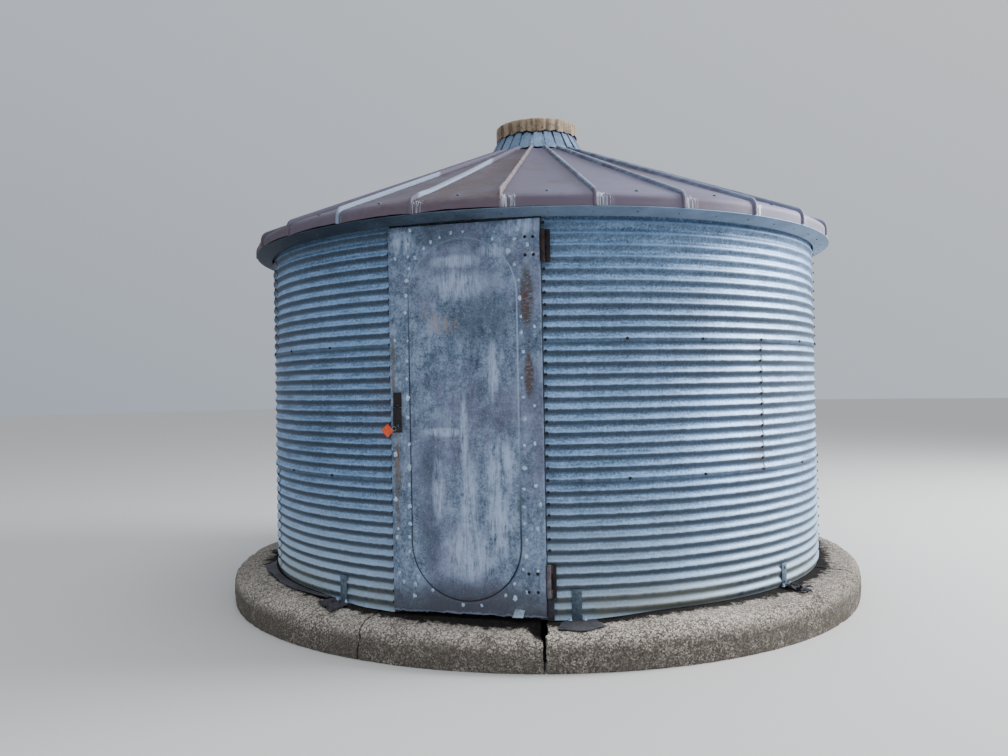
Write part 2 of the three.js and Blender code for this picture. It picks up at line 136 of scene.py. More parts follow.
class Bench:
    """A node tree with one shader, and the one way to add a node to it."""

    def __init__(self, tree: bpy.types.NodeTree, shader: str, output: str) -> None:
        """Clears a tree and gives it a shader that feeds its output.

        Args:
            tree: The tree, which is emptied.
            shader: The shader node's type.
            output: The output node's type.
        """
        self.tree = tree
        tree.nodes.clear()
        self.shader = tree.nodes.new(shader)
        tree.links.new(self.shader.outputs[0], tree.nodes.new(output).inputs[0])

    def node(
        self,
        kind: str,
        settings: Mapping[str, Any] | None = None,
        inputs: Mapping[str | int, Any] | None = None,
        output: str | int = 0,
    ) -> Signal:
        """Adds a node.

        Args:
            kind: The node's type.
            settings: Its properties, or "stops" for a ramp, set before its sockets.
            inputs: A value or a Signal for each socket, by name or index.
            output: The output socket to hand back.

        Returns:
            The chosen output.
        """
        made = self.tree.nodes.new(kind)
        for key, value in (settings or {}).items():
            if key == "stops":
                ramp = made.color_ramp.elements
                while len(ramp) < len(value):
                    ramp.new(0.5)
                for element, (position, colour) in zip(ramp, value):
                    element.position = position
                    element.color = colour
            else:
                setattr(made, key, value)
        for key, value in (inputs or {}).items():
            if isinstance(value, Signal):
                self.tree.links.new(value.socket, made.inputs[key])
            else:
                made.inputs[key].default_value = value
        return Signal(self, made.outputs[output])

    def maths(self, operation: str, first: Signal | float, second: Signal | float = 0.0) -> Signal:
        """Adds a Math node for two values."""
        return self.node("ShaderNodeMath", {"operation": operation}, {0: first, 1: second})

    def place(self, stretch: Place = (1.0, 1.0, 1.0)) -> Signal:
        """Gives the object coordinates, multiplied by a stretch."""
        spot = self.node("ShaderNodeTexCoord", output="Object")
        return self.node("ShaderNodeVectorMath", {"operation": "MULTIPLY"}, {0: spot, 1: stretch})

    def axis(self, index: int) -> Signal:
        """Gives one object coordinate: 0 for x, 1 for y, 2 for z."""
        return self.node("ShaderNodeSeparateXYZ", inputs={0: self.place()}, output=index)

    def attribute(self, name: str) -> Signal:
        """Gives a number that the mesh carries."""
        return self.node("ShaderNodeAttribute", {"attribute_name": name}, output="Fac")

    def clouds(
        self,
        scale: float,
        detail: float = 4.0,
        rough: float = 0.6,
        stretch: Place = (1.0, 1.0, 1.0),
        seed: float = 0.0,
    ) -> Signal:
        """Adds noise from 0 to 1.

        Args:
            scale: Features per metre, before the stretch.
            detail: Octaves of finer noise.
            rough: How strong the finer octaves are.
            stretch: A factor for each axis, where a small one draws the features out along it.
            seed: The fourth coordinate, which gives another pattern.

        Returns:
            The noise value.
        """
        values = {"Vector": self.place(stretch), "W": seed, "Scale": scale, "Detail": detail}
        values["Roughness"] = rough
        return self.node("ShaderNodeTexNoise", {"noise_dimensions": "4D"}, values)

    def cells(self, scale: float, output: str = "Distance") -> Signal:
        """Adds a cell pattern, as of pebbles or zinc spangle."""
        values = {"Vector": self.place(), "Scale": scale}
        return self.node("ShaderNodeTexVoronoi", inputs=values, output=output)

    def step(self, value: Signal, low: float, high: float) -> Signal:
        """Gives a smooth step from 0 at low to 1 at high, which may be the lower one."""
        values = {"Value": value, "From Min": low, "From Max": high}
        return self.node("ShaderNodeMapRange", {"interpolation_type": "SMOOTHSTEP"}, values)

    def mix(
        self, amount: Signal | float, first: Signal | Colour, second: Signal | Colour
    ) -> Signal:
        """Mixes two colours."""
        values = {0: amount, 6: first, 7: second}
        return self.node("ShaderNodeMix", {"data_type": "RGBA"}, values, 2)

    def ramp(self, value: Signal, *stops: tuple[float, Colour]) -> Signal:
        """Gives a colour for a value."""
        return self.node("ShaderNodeValToRGB", {"stops": stops}, {0: value})

    def spot(self, across: Signal, up: Signal, at: tuple[float, ...]) -> Signal:
        """Marks a soft oval.

        Args:
            across: The first coordinate.
            up: The second coordinate.
            at: The oval's centre across and up, and its half width and half height.

        Returns:
            A mask from 0 outside to 1 at the centre.
        """
        middle_across, middle_up, half_width, half_height = at
        wide = ((across - middle_across) / half_width) ** 2.0
        tall = ((up - middle_up) / half_height) ** 2.0
        return self.step(wide + tall, 1.0, 0.0)

    def bump(self, height: Signal, depth: float) -> None:
        """Feeds a bump, of a depth in metres, to the shader's normal."""
        values = {"Height": height, "Distance": depth, "Strength": 1.0}
        self.feed(Normal=self.node("ShaderNodeBump", inputs=values))

    def feed(self, **sockets: Signal | float | Colour) -> None:
        """Sets or links the shader's sockets, named with _ for a space.

        Args:
            sockets: A value or a Signal for each socket.
        """
        for key, value in sockets.items():
            socket = self.shader.inputs[key.replace("_", " ")]
            if isinstance(value, Signal):
                self.tree.links.new(value.socket, socket)
            else:
                socket.default_value = value


def tint(red: float, green: float, blue: float) -> Colour:
    """Gives a colour from linear values."""
    return (red, green, blue, 1.0)


@dataclass(frozen=True)
class Finish:
    """What every finish shares: its name and the record's slot."""

    name: str
    slot: Slot

    def material(self) -> bpy.types.Material:
        """Gives the finish's material, made the first time."""
        known = bpy.data.materials.get(self.name)
        if known is None:
            known = bpy.data.materials.new(self.name)
            known.use_nodes = True
            bench = Bench(known.node_tree, "ShaderNodeBsdfPrincipled", "ShaderNodeOutputMaterial")
            self.paint(bench)
        return known

    def paint(self, bench: Bench) -> None:
        """Builds the nodes."""
        raise NotImplementedError


@dataclass(frozen=True)
class WallZinc(Finish):
    """Old galvanized corrugated sheet: dull blue-grey, with painted shade and some staining on the
    faces that look down.
    """

    pale: Colour = tint(0.33, 0.54, 0.86)
    middle: Colour = tint(0.155, 0.26, 0.42)
    dark: Colour = tint(0.055, 0.095, 0.160)
    shade_and_grime: Colour = tint(0.010, 0.014, 0.020)
    lit_low_zinc: Colour = tint(0.50, 0.65, 0.80)
    earth: Colour = tint(0.34, 0.34, 0.25)
    rust: Colour = tint(0.10, 0.045, 0.022)

    def paint(self, bench: Bench) -> None:
        """Builds the nodes."""
        height = bench.axis(2)
        speckle = bench.clouds(75.0, 5.0, 0.75)
        smear = bench.clouds(5.0, 4.0, 0.6, (1.0, 1.0, 7.0))
        drip = bench.clouds(2.6, 4.0, 0.65, (9.0, 9.0, 1.0), seed=3.0)
        patch = bench.clouds(1.1, 3.0, 0.5, seed=7.0)
        fleck = bench.clouds(38.0, 5.0, 0.8, (1.0, 1.0, 0.5), seed=5.0)
        turn = (height - FOOTING_TOP) * (2.0 * math.pi / PITCH) + (drip - 0.5) * 1.3
        # The faces that look down, below each crest, get painted shade with some staining, a little
        # less on the lap band.
        shade = bench.step(bench.maths("SINE", turn - 0.25), -0.50, 0.32)
        looks_down = shade * (0.72 + bench.step(bench.maths("SINE", turn - 0.9), -0.5, 0.8) * 0.28)
        # A pale band on each crest, just above its shaded face: a painted highlight.
        lip = bench.step(bench.maths("SINE", turn - 2.0), 0.45, 1.0)
        tone = speckle * 0.46 + smear * 0.26 + drip * 0.10 + patch * 0.18
        zinc = bench.ramp(tone, (0.40, self.dark), (0.475, self.middle), (0.56, self.pale))
        zinc = bench.mix(bench.step(fleck, 0.60, 0.70) * 0.55, zinc, self.dark)
        zinc = bench.mix(lip * 0.45, zinc, self.pale)
        # Paler towards the bottom, more so on the left: painted light.
        low = bench.step(height + (patch - 0.5) * 0.6, 1.05, 0.35)
        lit = 0.45 + bench.step(bench.axis(0), 0.0, -1.6) * 0.30
        zinc = bench.mix(low * lit, zinc, self.lit_low_zinc)
        shade_and_dirt = looks_down * (0.66 + smear * 0.45) * (0.95 - bench.attribute("lap") * 0.22)
        # Less of the painted shade on the upper right: painted light.
        upper_right = bench.step(height, 1.90, 2.50) * bench.step(bench.axis(0), 0.2, 1.0)
        shade_and_dirt = shade_and_dirt * (1.0 - upper_right * 0.50)
        # Patchy darkening just under the roof's edge: painted shadow, with some staining.
        uneven = bench.step(smear * 0.5 + patch * 0.5, 0.34, 0.60)
        eave = bench.step(height, 2.30, 2.56) * uneven * 0.6
        # Dark lines along the laps, from the mesh's seam number: painted shadow lines.
        edges = bench.attribute("seam") * (0.55 + speckle * 0.5)
        shade_and_dirt = bench.maths("MAXIMUM", bench.maths("MAXIMUM", shade_and_dirt, eave), edges)
        zinc = bench.mix(bench.maths("MINIMUM", shade_and_dirt, 1.0), zinc, self.shade_and_grime)
        foot = bench.step(height, 0.44, 0.27) * bench.step(patch * 0.6 + drip * 0.4, 0.38, 0.60)
        zinc = bench.mix(foot * 0.5, zinc, self.earth)
        stained = bench.attribute("rust") * bench.step(speckle * 0.5 + drip * 0.5, 0.38, 0.56)
        zinc = bench.mix(stained, zinc, self.rust)
        bench.feed(
            Base_Color=zinc,
            Roughness=0.36 + tone * 0.3 + shade_and_dirt * 0.15,
            Metallic=0.62 - shade_and_dirt * 0.35 - stained * 0.2,
        )
        bench.bump(speckle * 0.6 + smear, 0.0006)


@dataclass(frozen=True)
class StripZinc(Finish):
    """Weathered galvanized strip, from dark to bare and pale, with rust where water stands, and
    where asked painted light on its right and painted shade on its left.
    """

    pale: Colour = tint(0.20, 0.25, 0.30)
    dark: Colour = tint(0.055, 0.07, 0.085)
    rust: Colour = tint(0.11, 0.05, 0.03)
    bleached: Colour = tint(0.32, 0.43, 0.58)
    rusted: float = 0.25
    gloss: float = 0.55
    bleach: float = 0.0
    gloom: float = 0.0

    def paint(self, bench: Bench) -> None:
        """Builds the nodes."""
        speckle = bench.clouds(60.0, 5.0, 0.7)
        patch = bench.clouds(4.0, 4.0, 0.6, seed=5.0)
        tone = speckle * 0.45 + patch * 0.55
        zinc = bench.ramp(tone, (0.38, self.dark), (0.60, self.pale))
        # Paler towards the right: painted light.
        right = bench.step(bench.axis(0), -1.2, 1.6) * self.bleach
        zinc = bench.mix(right * (0.4 + patch * 1.1), zinc, self.bleached)
        # Darker towards the left: painted shade.
        zinc = bench.mix(bench.step(bench.axis(0), 0.8, -1.5) * self.gloom, zinc, self.dark)
        zinc = bench.mix(bench.attribute("shade") * (0.5 + patch), zinc, self.dark)
        worn = bench.step(bench.clouds(9.0, 5.0, 0.7, seed=11.0), 0.60, 0.70) * self.rusted
        spread = bench.maths("MAXIMUM", worn, bench.attribute("rust") * bench.step(tone, 0.3, 0.5))
        bench.feed(
            Base_Color=bench.mix(spread, zinc, self.rust),
            Roughness=self.gloss + tone * 0.25,
            Metallic=0.6 - spread * 0.4,
        )
        bench.bump(tone, 0.0007)


@dataclass(frozen=True)
class DoorZinc(Finish):
    """The door's skin: mottled zinc with pale wash marks, dark corners and rust stains, painted
    shade and highlight along the oval's groove, and painted shadow below the torn hem.

    A mark is a centre across and up, and its half width and half height. Heights are above the
    footing, and marks stand where the photographed door has them.
    """

    pale: Colour = tint(0.31, 0.40, 0.56)
    middle: Colour = tint(0.140, 0.200, 0.295)
    dark: Colour = tint(0.038, 0.058, 0.090)
    black: Colour = tint(0.006, 0.008, 0.012)
    violet: Colour = tint(0.185, 0.180, 0.290)
    wash: Colour = tint(0.47, 0.58, 0.80)
    soot: Colour = tint(0.078, 0.078, 0.088)
    brown: Colour = tint(0.074, 0.065, 0.062)
    olive: Colour = tint(0.16, 0.105, 0.045)
    rust: Colour = tint(0.100, 0.046, 0.034)
    tan: Colour = tint(0.36, 0.24, 0.16)
    washes: Marks = (
        (-0.04, 2.07, 0.20, 0.05), (-0.03, 1.93, 0.20, 0.11), (0.18, 2.12, 0.10, 0.05),
        (-0.38, 2.20, 0.10, 0.10), (0.36, 2.26, 0.14, 0.08), (-0.13, 1.06, 0.16, 0.035),
        (-0.01, 1.05, 0.035, 0.30), (0.02, 0.62, 0.07, 0.36), (0.02, 0.34, 0.22, 0.22),
        (-0.17, 0.72, 0.05, 0.26), (0.20, 0.56, 0.10, 0.30), (0.18, 1.42, 0.05, 0.22),
        (0.21, 0.86, 0.12, 0.24),
    )
    shades: Marks = (
        (-0.16, 2.23, 0.26, 0.10), (0.10, 1.72, 0.28, 0.22), (-0.23, 0.45, 0.10, 0.30),
        (-0.22, 0.86, 0.10, 0.20), (0.0, 0.11, 0.45, 0.12),
    )
    stains: Marks = (
        (0.386, 1.84, 0.050, 0.23), (0.392, 1.39, 0.036, 0.17),
    )
    cores: Marks = ((0.375, 1.80, 0.028, 0.11), (0.390, 1.40, 0.026, 0.14))
    runs: Marks = ((-0.430, 0.78, 0.026, 0.42), (-0.448, 1.45, 0.016, 0.25))
    smudges: Marks = ((-0.13, 1.70, 0.13, 0.085), (-0.22, 1.75, 0.06, 0.05))

    def paint(self, bench: Bench) -> None:
        """Builds the nodes."""
        across = bench.axis(0)
        up = bench.axis(2) - FOOTING_TOP
        speckle = bench.clouds(85.0, 5.0, 0.75)
        blotch = bench.clouds(7.0, 5.0, 0.65, seed=2.0)
        drip = bench.clouds(3.4, 5.0, 0.7, (9.0, 9.0, 1.0), seed=4.0)
        mottle = bench.clouds(26.0, 5.0, 0.75, (1.0, 1.0, 0.7), seed=6.0)
        tone = speckle * 0.32 + blotch * 0.30 + drip * 0.12 + mottle * 0.26
        skin = bench.ramp(tone, (0.41, self.dark), (0.485, self.middle), (0.56, self.pale))
        hue = bench.step(bench.clouds(3.0, 4.0, 0.6, (1.0, 1.0, 0.6), seed=17.0), 0.46, 0.62)
        skin = bench.mix(hue * 0.45, skin, self.violet)

        def strongest(places: Marks) -> Signal:
            """Gives the strongest of several soft ovals."""
            mark: Signal | float = 0.0
            for at in places:
                mark = bench.maths("MAXIMUM", mark, bench.spot(across, up, at))
            return mark

        def daub(coat: Signal, places: Marks, amount: Signal, colour: Colour) -> Signal:
            """Lays a colour over several soft ovals."""
            for at in places:
                coat = bench.mix(bench.spot(across, up, at) * amount, coat, colour)
            return coat

        skin = daub(skin, self.shades, bench.step(blotch, 0.30, 0.58) * 0.62, self.dark)
        fine = bench.clouds(9.0, 4.0, 0.7, (12.0, 12.0, 1.0), seed=21.0)
        worn = bench.step(drip * 0.40 + fine * 0.35 + mottle * 0.25, 0.40, 0.58)
        wash = strongest(self.washes) * worn
        skin = bench.mix(wash * 0.88, skin, self.wash)
        run = strongest(self.runs) * bench.step(drip, 0.30, 0.55)
        skin = bench.mix(run * 0.85, skin, self.olive)
        stain = strongest(self.stains)
        grain = bench.clouds(75.0, 6.0, 0.8, (0.4, 0.4, 1.0), seed=9.0)
        broken = bench.step(grain * 0.8 + mottle * 0.2, 0.38, 0.55)
        skin = bench.mix(bench.maths("MINIMUM", stain * 1.5, 1.0) * broken, skin, self.brown)
        core = bench.step(grain * 0.6 + mottle * 0.4, 0.40, 0.54)
        skin = daub(skin, self.cores, core * 0.75, self.rust)
        smudge = bench.step(speckle * 0.3 + mottle * 0.7, 0.46, 0.60)
        skin = daub(skin, self.smudges, smudge * 0.60, self.tan)
        nick = bench.clouds(120.0, 3.0, 0.6, seed=13.0)
        skin = bench.mix(bench.step(nick, 0.61, 0.68) * 0.6, skin, self.wash)
        # Along the oval's groove: painted shade on its lower left side and a painted highlight on
        # its upper right side.
        lit = bench.step(across * 0.8 + (up - 1.15) * 0.5, -0.15, 0.45)
        lit = bench.maths("MAXIMUM", lit, bench.step(up, 1.86, 2.0))
        line = bench.attribute("groove") * (0.9 - lit * 0.42) * (0.6 + speckle * 0.8)
        skin = bench.mix(line, skin, bench.mix(lit, self.black, self.wash))
        foot = bench.step(up + (blotch - 0.5) * 0.2, 0.24, 0.02) * (0.35 + mottle * 0.7)
        skin = bench.mix(foot, skin, self.soot)
        # At the hem: a pale torn line, which is a painted highlight on its fold, and painted shadow
        # on the skin below it.
        hem = up + (mottle - 0.5) * 0.05
        torn = bench.step(hem, 0.004, -0.001) * bench.step(hem, -0.012, -0.006)
        skin = bench.mix(torn * 0.35, skin, self.wash)
        skin = bench.mix(bench.step(hem, -0.006, -0.013), skin, self.black)
        bench.feed(
            Base_Color=skin,
            Roughness=0.42 + tone * 0.25 + stain * 0.2,
            Metallic=0.5 - stain * 0.4 - wash * 0.15,
        )
        bench.bump(blotch * 2.0 + speckle * 0.4 + drip, 0.0008)


@dataclass(frozen=True)
class RoofRust(Finish):
    """Evenly rusted roof sheet, dusty on the slope, redder on the skirt, with pale runs at ribs,
    painted shade beside the ribs and on the left, and a painted sheen on the right.
    """

    dust: Colour = tint(0.088, 0.081, 0.131)
    brown: Colour = tint(0.055, 0.036, 0.044)
    red: Colour = tint(0.160, 0.117, 0.150)
    glare: Colour = tint(0.265, 0.270, 0.42)
    dark: Colour = tint(0.018, 0.013, 0.017)
    run: Colour = tint(0.58, 0.66, 0.78)
    bare: Colour = tint(0.25, 0.325, 0.44)
    chalk: Colour = tint(0.22, 0.18, 0.175)

    def paint(self, bench: Bench) -> None:
        """Builds the nodes."""
        height = bench.axis(2)
        grain = bench.clouds(40.0, 6.0, 0.75)
        patch = bench.clouds(2.6, 5.0, 0.65, seed=1.0)
        fine = bench.clouds(9.0, 6.0, 0.7, (1.0, 1.0, 3.5), seed=8.0)
        tone = grain * 0.25 + patch * 0.40 + fine * 0.35 + (bench.attribute("tone") - 0.5) * 0.16
        sheet = bench.ramp(tone, (0.41, self.brown), (0.54, self.dust))
        # Darker beside the ribs: painted shade.
        sheet = bench.mix(bench.attribute("lee") * (0.4 + patch * 0.6), sheet, self.dark)
        skirt = bench.step(height, 2.66, 2.61)
        sheet = bench.mix(skirt * (0.35 + fine * 0.5), sheet, self.red)
        sheet = bench.mix(bench.step(patch, 0.60, 0.74) * 0.5, sheet, self.dark)
        glare = bench.step(bench.axis(0), 0.1, 2.3) * (0.40 + patch)
        sheet = bench.mix(glare * (1.0 - skirt * 0.5) * 0.75, sheet, self.glare)
        # Darker towards the left: painted shade.
        sheet = bench.mix(bench.step(bench.axis(0), -0.9, -2.1) * 0.50, sheet, self.dark)
        streak = bench.clouds(130.0, 3.0, 0.6, (1.0, 1.0, 0.04), seed=12.0)
        run = bench.attribute("run")
        pale = bench.step(run * 0.28 + streak, 0.59, 0.72) * bench.step(run, 0.04, 0.20)
        sheet = bench.mix(pale * 0.75, sheet, self.run)
        # Bare zinc where ribs are worn; on the front-right ribs' tops it is partly a painted
        # highlight.
        worn = bench.step(bench.attribute("bare") + (fine - 0.5) * 1.2, 0.25, 0.60)
        sheet = bench.mix(worn * (0.60 + grain * 0.5), sheet, self.bare)
        chalk = bench.attribute("chalk") * bench.step(grain * 0.5 + fine * 0.5, 0.42, 0.54)
        sheet = bench.mix(chalk, sheet, self.chalk)
        bench.feed(
            Base_Color=sheet,
            Roughness=0.50 + tone * 0.25 - pale * 0.1,
            Metallic=0.22 + pale * 0.3,
        )
        bench.bump(grain * 0.5 + fine, 0.0009)


@dataclass(frozen=True)
class CapPaint(Finish):
    """Flaking ochre paint with dark vertical streaks over rust."""

    ochre: Colour = tint(0.265, 0.190, 0.122)
    tan: Colour = tint(0.41, 0.335, 0.245)
    umber: Colour = tint(0.065, 0.040, 0.022)
    bare: Colour = tint(0.070, 0.075, 0.085)

    def paint(self, bench: Bench) -> None:
        """Builds the nodes."""
        speckle = bench.clouds(55.0, 5.0, 0.75)
        streak = bench.clouds(7.0, 5.0, 0.7, (3.0, 3.0, 0.45), seed=2.0)
        tone = speckle * 0.4 + streak * 0.6
        coat = bench.ramp(tone, (0.40, self.umber), (0.49, self.ochre), (0.62, self.tan))
        flaked = bench.step(bench.clouds(13.0, 6.0, 0.8, seed=6.0), 0.56, 0.62)
        coat = bench.mix(flaked * 0.8, coat, self.bare)
        # Darker in the pleats' inner folds, more so low down: painted shade.
        coat = bench.mix(bench.attribute("fold") * (0.4 + streak * 0.9), coat, self.umber)
        bench.feed(Base_Color=coat, Roughness=0.7 + tone * 0.2, Metallic=0.0)
        bench.bump(speckle + streak * 1.5 - flaked, 0.0014)


@dataclass(frozen=True)
class OldIron(Finish):
    """Rusted ironwork, from nearly black to brown."""

    dark: Colour = tint(0.008, 0.007, 0.009)
    brown: Colour = tint(0.030, 0.019, 0.021)
    flake: Colour = tint(0.080, 0.046, 0.040)

    def paint(self, bench: Bench) -> None:
        """Builds the nodes."""
        pits = bench.clouds(160.0, 5.0, 0.7)
        patch = bench.clouds(24.0, 5.0, 0.65, seed=3.0)
        tone = pits * 0.5 + patch * 0.5
        scale = bench.ramp(tone, (0.38, self.dark), (0.52, self.brown), (0.66, self.flake))
        bench.feed(Base_Color=scale, Roughness=0.62 + pits * 0.3, Metallic=0.3)
        bench.bump(pits + patch, 0.0008)


@dataclass(frozen=True)
class TagPlastic(Finish):
    """Faded orange plastic with dark scuffs."""

    orange: Colour = tint(0.72, 0.060, 0.012)
    faded: Colour = tint(0.80, 0.120, 0.035)
    scuff: Colour = tint(0.12, 0.015, 0.010)

    def paint(self, bench: Bench) -> None:
        """Builds the nodes."""
        patch = bench.clouds(60.0, 4.0, 0.6)
        marks = bench.step(bench.clouds(110.0, 4.0, 0.7, (1.0, 1.0, 0.4), seed=4.0), 0.56, 0.64)
        coat = bench.mix(bench.step(patch, 0.4, 0.6), self.orange, self.faded)
        coat = bench.mix(marks * 0.6, coat, self.scuff)
        bench.feed(Base_Color=coat, Roughness=0.45 + patch * 0.2)
        bench.bump(patch, 0.0004)


@dataclass(frozen=True)
class Concrete(Finish):
    """Weathered concrete with bare aggregate, dark with earth and painted shadow at the wall, mossy
    with painted shade at its sides.
    """

    light: Colour = tint(0.58, 0.525, 0.465)
    paste: Colour = tint(0.24, 0.214, 0.185)
    dark: Colour = tint(0.028, 0.024, 0.021)
    stone: Colour = tint(0.95, 0.87, 0.78)
    moss_and_shade: Colour = tint(0.072, 0.062, 0.050)
    soil_and_shadow: Colour = tint(0.0075, 0.0065, 0.0070)

    def paint(self, bench: Bench) -> None:
        """Builds the nodes."""
        across, along, height = bench.axis(0), bench.axis(1), bench.axis(2)
        radius = bench.maths("SQRT", across * across + along * along)
        sand = bench.clouds(150.0, 4.0, 0.7)
        patch = bench.clouds(2.2, 5.0, 0.65, seed=1.0)
        spots = bench.clouds(19.0, 5.0, 0.75, seed=3.0)
        tone = sand * 0.35 + patch * 0.35 + spots * 0.30
        body = bench.ramp(tone, (0.36, self.dark), (0.48, self.paste), (0.62, self.light))
        pebbles = bench.cells(115.0)
        shade = bench.cells(115.0, "Color") + (sand - 0.5)
        stones = bench.step(pebbles, 0.50, 0.34)
        gravel = bench.ramp(shade, (0.26, self.dark), (0.50, self.paste), (0.72, self.stone))
        body = bench.mix(stones * 0.50 + 0.30, body, gravel)
        # The sides are darker: partly mossy, partly painted shade.
        side = bench.step(height, 0.205, 0.11) * bench.step(spots * 0.5 + patch * 0.5, 0.34, 0.54)
        body = bench.mix(side * 0.80, body, self.moss_and_shade)
        # Darker towards the left and the right: painted shade.
        flank_shade = bench.step(bench.maths("ABSOLUTE", across), 1.3, 2.4) * (0.16 + patch * 0.50)
        body = bench.mix(flank_shade, body, self.moss_and_shade)
        # A near-black band at the wall's foot and in front of the door: earth, and painted shadow
        # of the gaps under the wall and the door.
        ragged = (spots - 0.5) * 0.30 + (patch - 0.5) * 0.12
        soil_and_shadow_mask = bench.step(radius + ragged, 2.245, 2.180)
        ahead = bench.step(ragged - along, 2.190, 2.140) * bench.step(along, -1.9, -2.0)
        ahead = ahead * bench.step(bench.maths("ABSOLUTE", across), 0.66, 0.50)
        soil_and_shadow_mask = bench.maths("MAXIMUM", soil_and_shadow_mask, ahead)
        body = bench.mix(soil_and_shadow_mask * 0.97, body, self.soil_and_shadow)
        rough = 0.88 + sand * 0.1
        bench.feed(Base_Color=body, Roughness=rough, Metallic=0.0, Specular_IOR_Level=0.12)
        bench.bump(stones * 0.8 + sand * 0.5 + spots, 0.0028)


@dataclass(frozen=True)
class PaleFloor(Finish):
    """The plain pale studio floor."""

    shade: Colour = tint(0.56, 0.56, 0.56)

    def paint(self, bench: Bench) -> None:
        """Builds the nodes."""
        mottle = bench.clouds(0.6, 2.0, 0.5)
        bench.feed(Base_Color=self.shade, Roughness=0.9 + mottle * 0.02, Metallic=0.0)


def strip(name: str, pale: Colour, dark: Colour, **looks: float) -> StripZinc:
    """Gives the finish of a strip in dull zinc."""
    return StripZinc(name, Slot.DULL_ZINC, pale=pale, dark=dark, **looks)


WALL_ZINC = WallZinc("wall_zinc", Slot.GALVANIZED)
DARK_STRIP = strip("dark_strip", tint(0.18, 0.245, 0.32), tint(0.05, 0.07, 0.095))
# The flashing takes painted light on its right and painted shade on its left.
EAVE_STRIP = strip(
    "eave_strip",
    tint(0.125, 0.180, 0.255),
    tint(0.022, 0.033, 0.052),
    rusted=0.1,
    bleach=0.62,
    gloom=0.85,
)
FRAME_STRIP = strip("frame_strip", tint(0.20, 0.25, 0.31), tint(0.05, 0.06, 0.07))
COLLAR_ZINC = strip(
    "collar_zinc", tint(0.215, 0.315, 0.475), tint(0.042, 0.074, 0.125), gloss=0.45
)
FOOT_STRIP = strip("foot_strip", tint(0.105, 0.102, 0.120), tint(0.012, 0.012, 0.016), rusted=0.5)
BRIGHT_WIRE = strip("bright_wire", tint(0.56, 0.60, 0.65), tint(0.28, 0.31, 0.35), gloss=0.42)
WELD_ZINC = StripZinc(
    "weld_zinc", Slot.DOOR_ZINC, pale=tint(0.62, 0.78, 1.0), dark=tint(0.30, 0.40, 0.54), rusted=0.1
)
LIP_ZINC = StripZinc(
    "lip_zinc", Slot.DOOR_ZINC, pale=tint(0.46, 0.58, 0.72), dark=tint(0.08, 0.11, 0.15), rusted=0.1
)
DOOR_ZINC = DoorZinc("door_skin", Slot.DOOR_ZINC)
ROOF_RUST = RoofRust("roof_rust", Slot.RUSTED_ROOF)
CAP_PAINT = CapPaint("cap_paint", Slot.OCHRE_PAINT)
OLD_IRON = OldIron("old_iron", Slot.RUSTED_IRON)
PALE_IRON = OldIron(
    "pale_iron",
    Slot.RUSTED_IRON,
    dark=tint(0.050, 0.043, 0.048),
    brown=tint(0.14, 0.125, 0.14),
    flake=tint(0.28, 0.26, 0.28),
)
BLACK_IRON = OldIron(
    "black_iron",
    Slot.RUSTED_IRON,
    dark=tint(0.006, 0.006, 0.008),
    brown=tint(0.020, 0.015, 0.017),
    flake=tint(0.06, 0.045, 0.045),
)
TAG_PLASTIC = TagPlastic("tag_plastic", Slot.ORANGE_TAG)
CONCRETE = Concrete("weathered_concrete", Slot.CONCRETE)
PALE_FLOOR = PaleFloor("pale_floor", Slot.CONCRETE)


def around(radius: float, azimuth: float, height: float) -> Vector:
    """Gives the point at a radius, an azimuth and a height."""
    angle = math.radians(azimuth)
    return Vector((radius * math.sin(angle), -radius * math.cos(angle), height))


def polar(point: Vector, near: float = 0.0) -> Place:
    """Gives a point's radius, azimuth and height, with the azimuth within half a turn of near."""
    azimuth = math.degrees(math.atan2(point.x, -point.y))
    return point.xy.length, near + (azimuth - near + 180.0) % 360.0 - 180.0, point.z


def smooth(value: float, low: float, high: float) -> float:
    """Gives a smooth step from 0 at low to 1 at high."""
    share = min(max((value - low) / (high - low), 0.0), 1.0)
    return share * share * (3.0 - 2.0 * share)


def sunk(azimuth: float) -> float:
    """Gives how far the ground has let the footing's top down at an azimuth, near the door."""
    away = abs((azimuth + 180.0) % 360.0 - 180.0)
    return 0.030 * (1.0 - smooth(away, 17.0, 34.0))


def facing(point: Vector, outward: Vector) -> Matrix:
    """Gives a placement at a point, whose Z axis points outward."""
    return Matrix.Translation(point) @ outward.to_track_quat("Z", "X").to_matrix().to_4x4()


def spun(degrees: float, axis: str) -> Matrix:
    """Gives a turn about an axis."""
    return Matrix.Rotation(math.radians(degrees), 4, axis)


def frontal(x: float, y: float, z: float) -> Matrix:
    """Gives a placement whose Z axis points away from the bin's front."""
    return facing(Vector((x, y, z)), Vector((0.0, -1.0, 0.0)))


def spin(
    shape: Shape,
    degrees: float,
    steps: int,
    whole: bool = False,
    centre: Sequence[float] = (0.0, 0.0, 0.0),
    axis: Sequence[float] = (0.0, 0.0, 1.0),
) -> None:
    """Spins everything in a shape about an axis, which is the bin's own unless another is given.

    Args:
        shape: The shape, in place at the start of the turn.
        degrees: How far it turns.
        steps: How many strips there are.
        whole: Whether the turn closes on itself.
        centre: A point on the axis.
        axis: The axis's direction.
    """
    geom = shape.verts[:] + shape.edges[:]
    angle = math.radians(degrees)
    bmesh.ops.spin(
        shape, geom=geom, cent=centre, axis=axis, angle=angle, steps=steps, use_merge=whole
    )


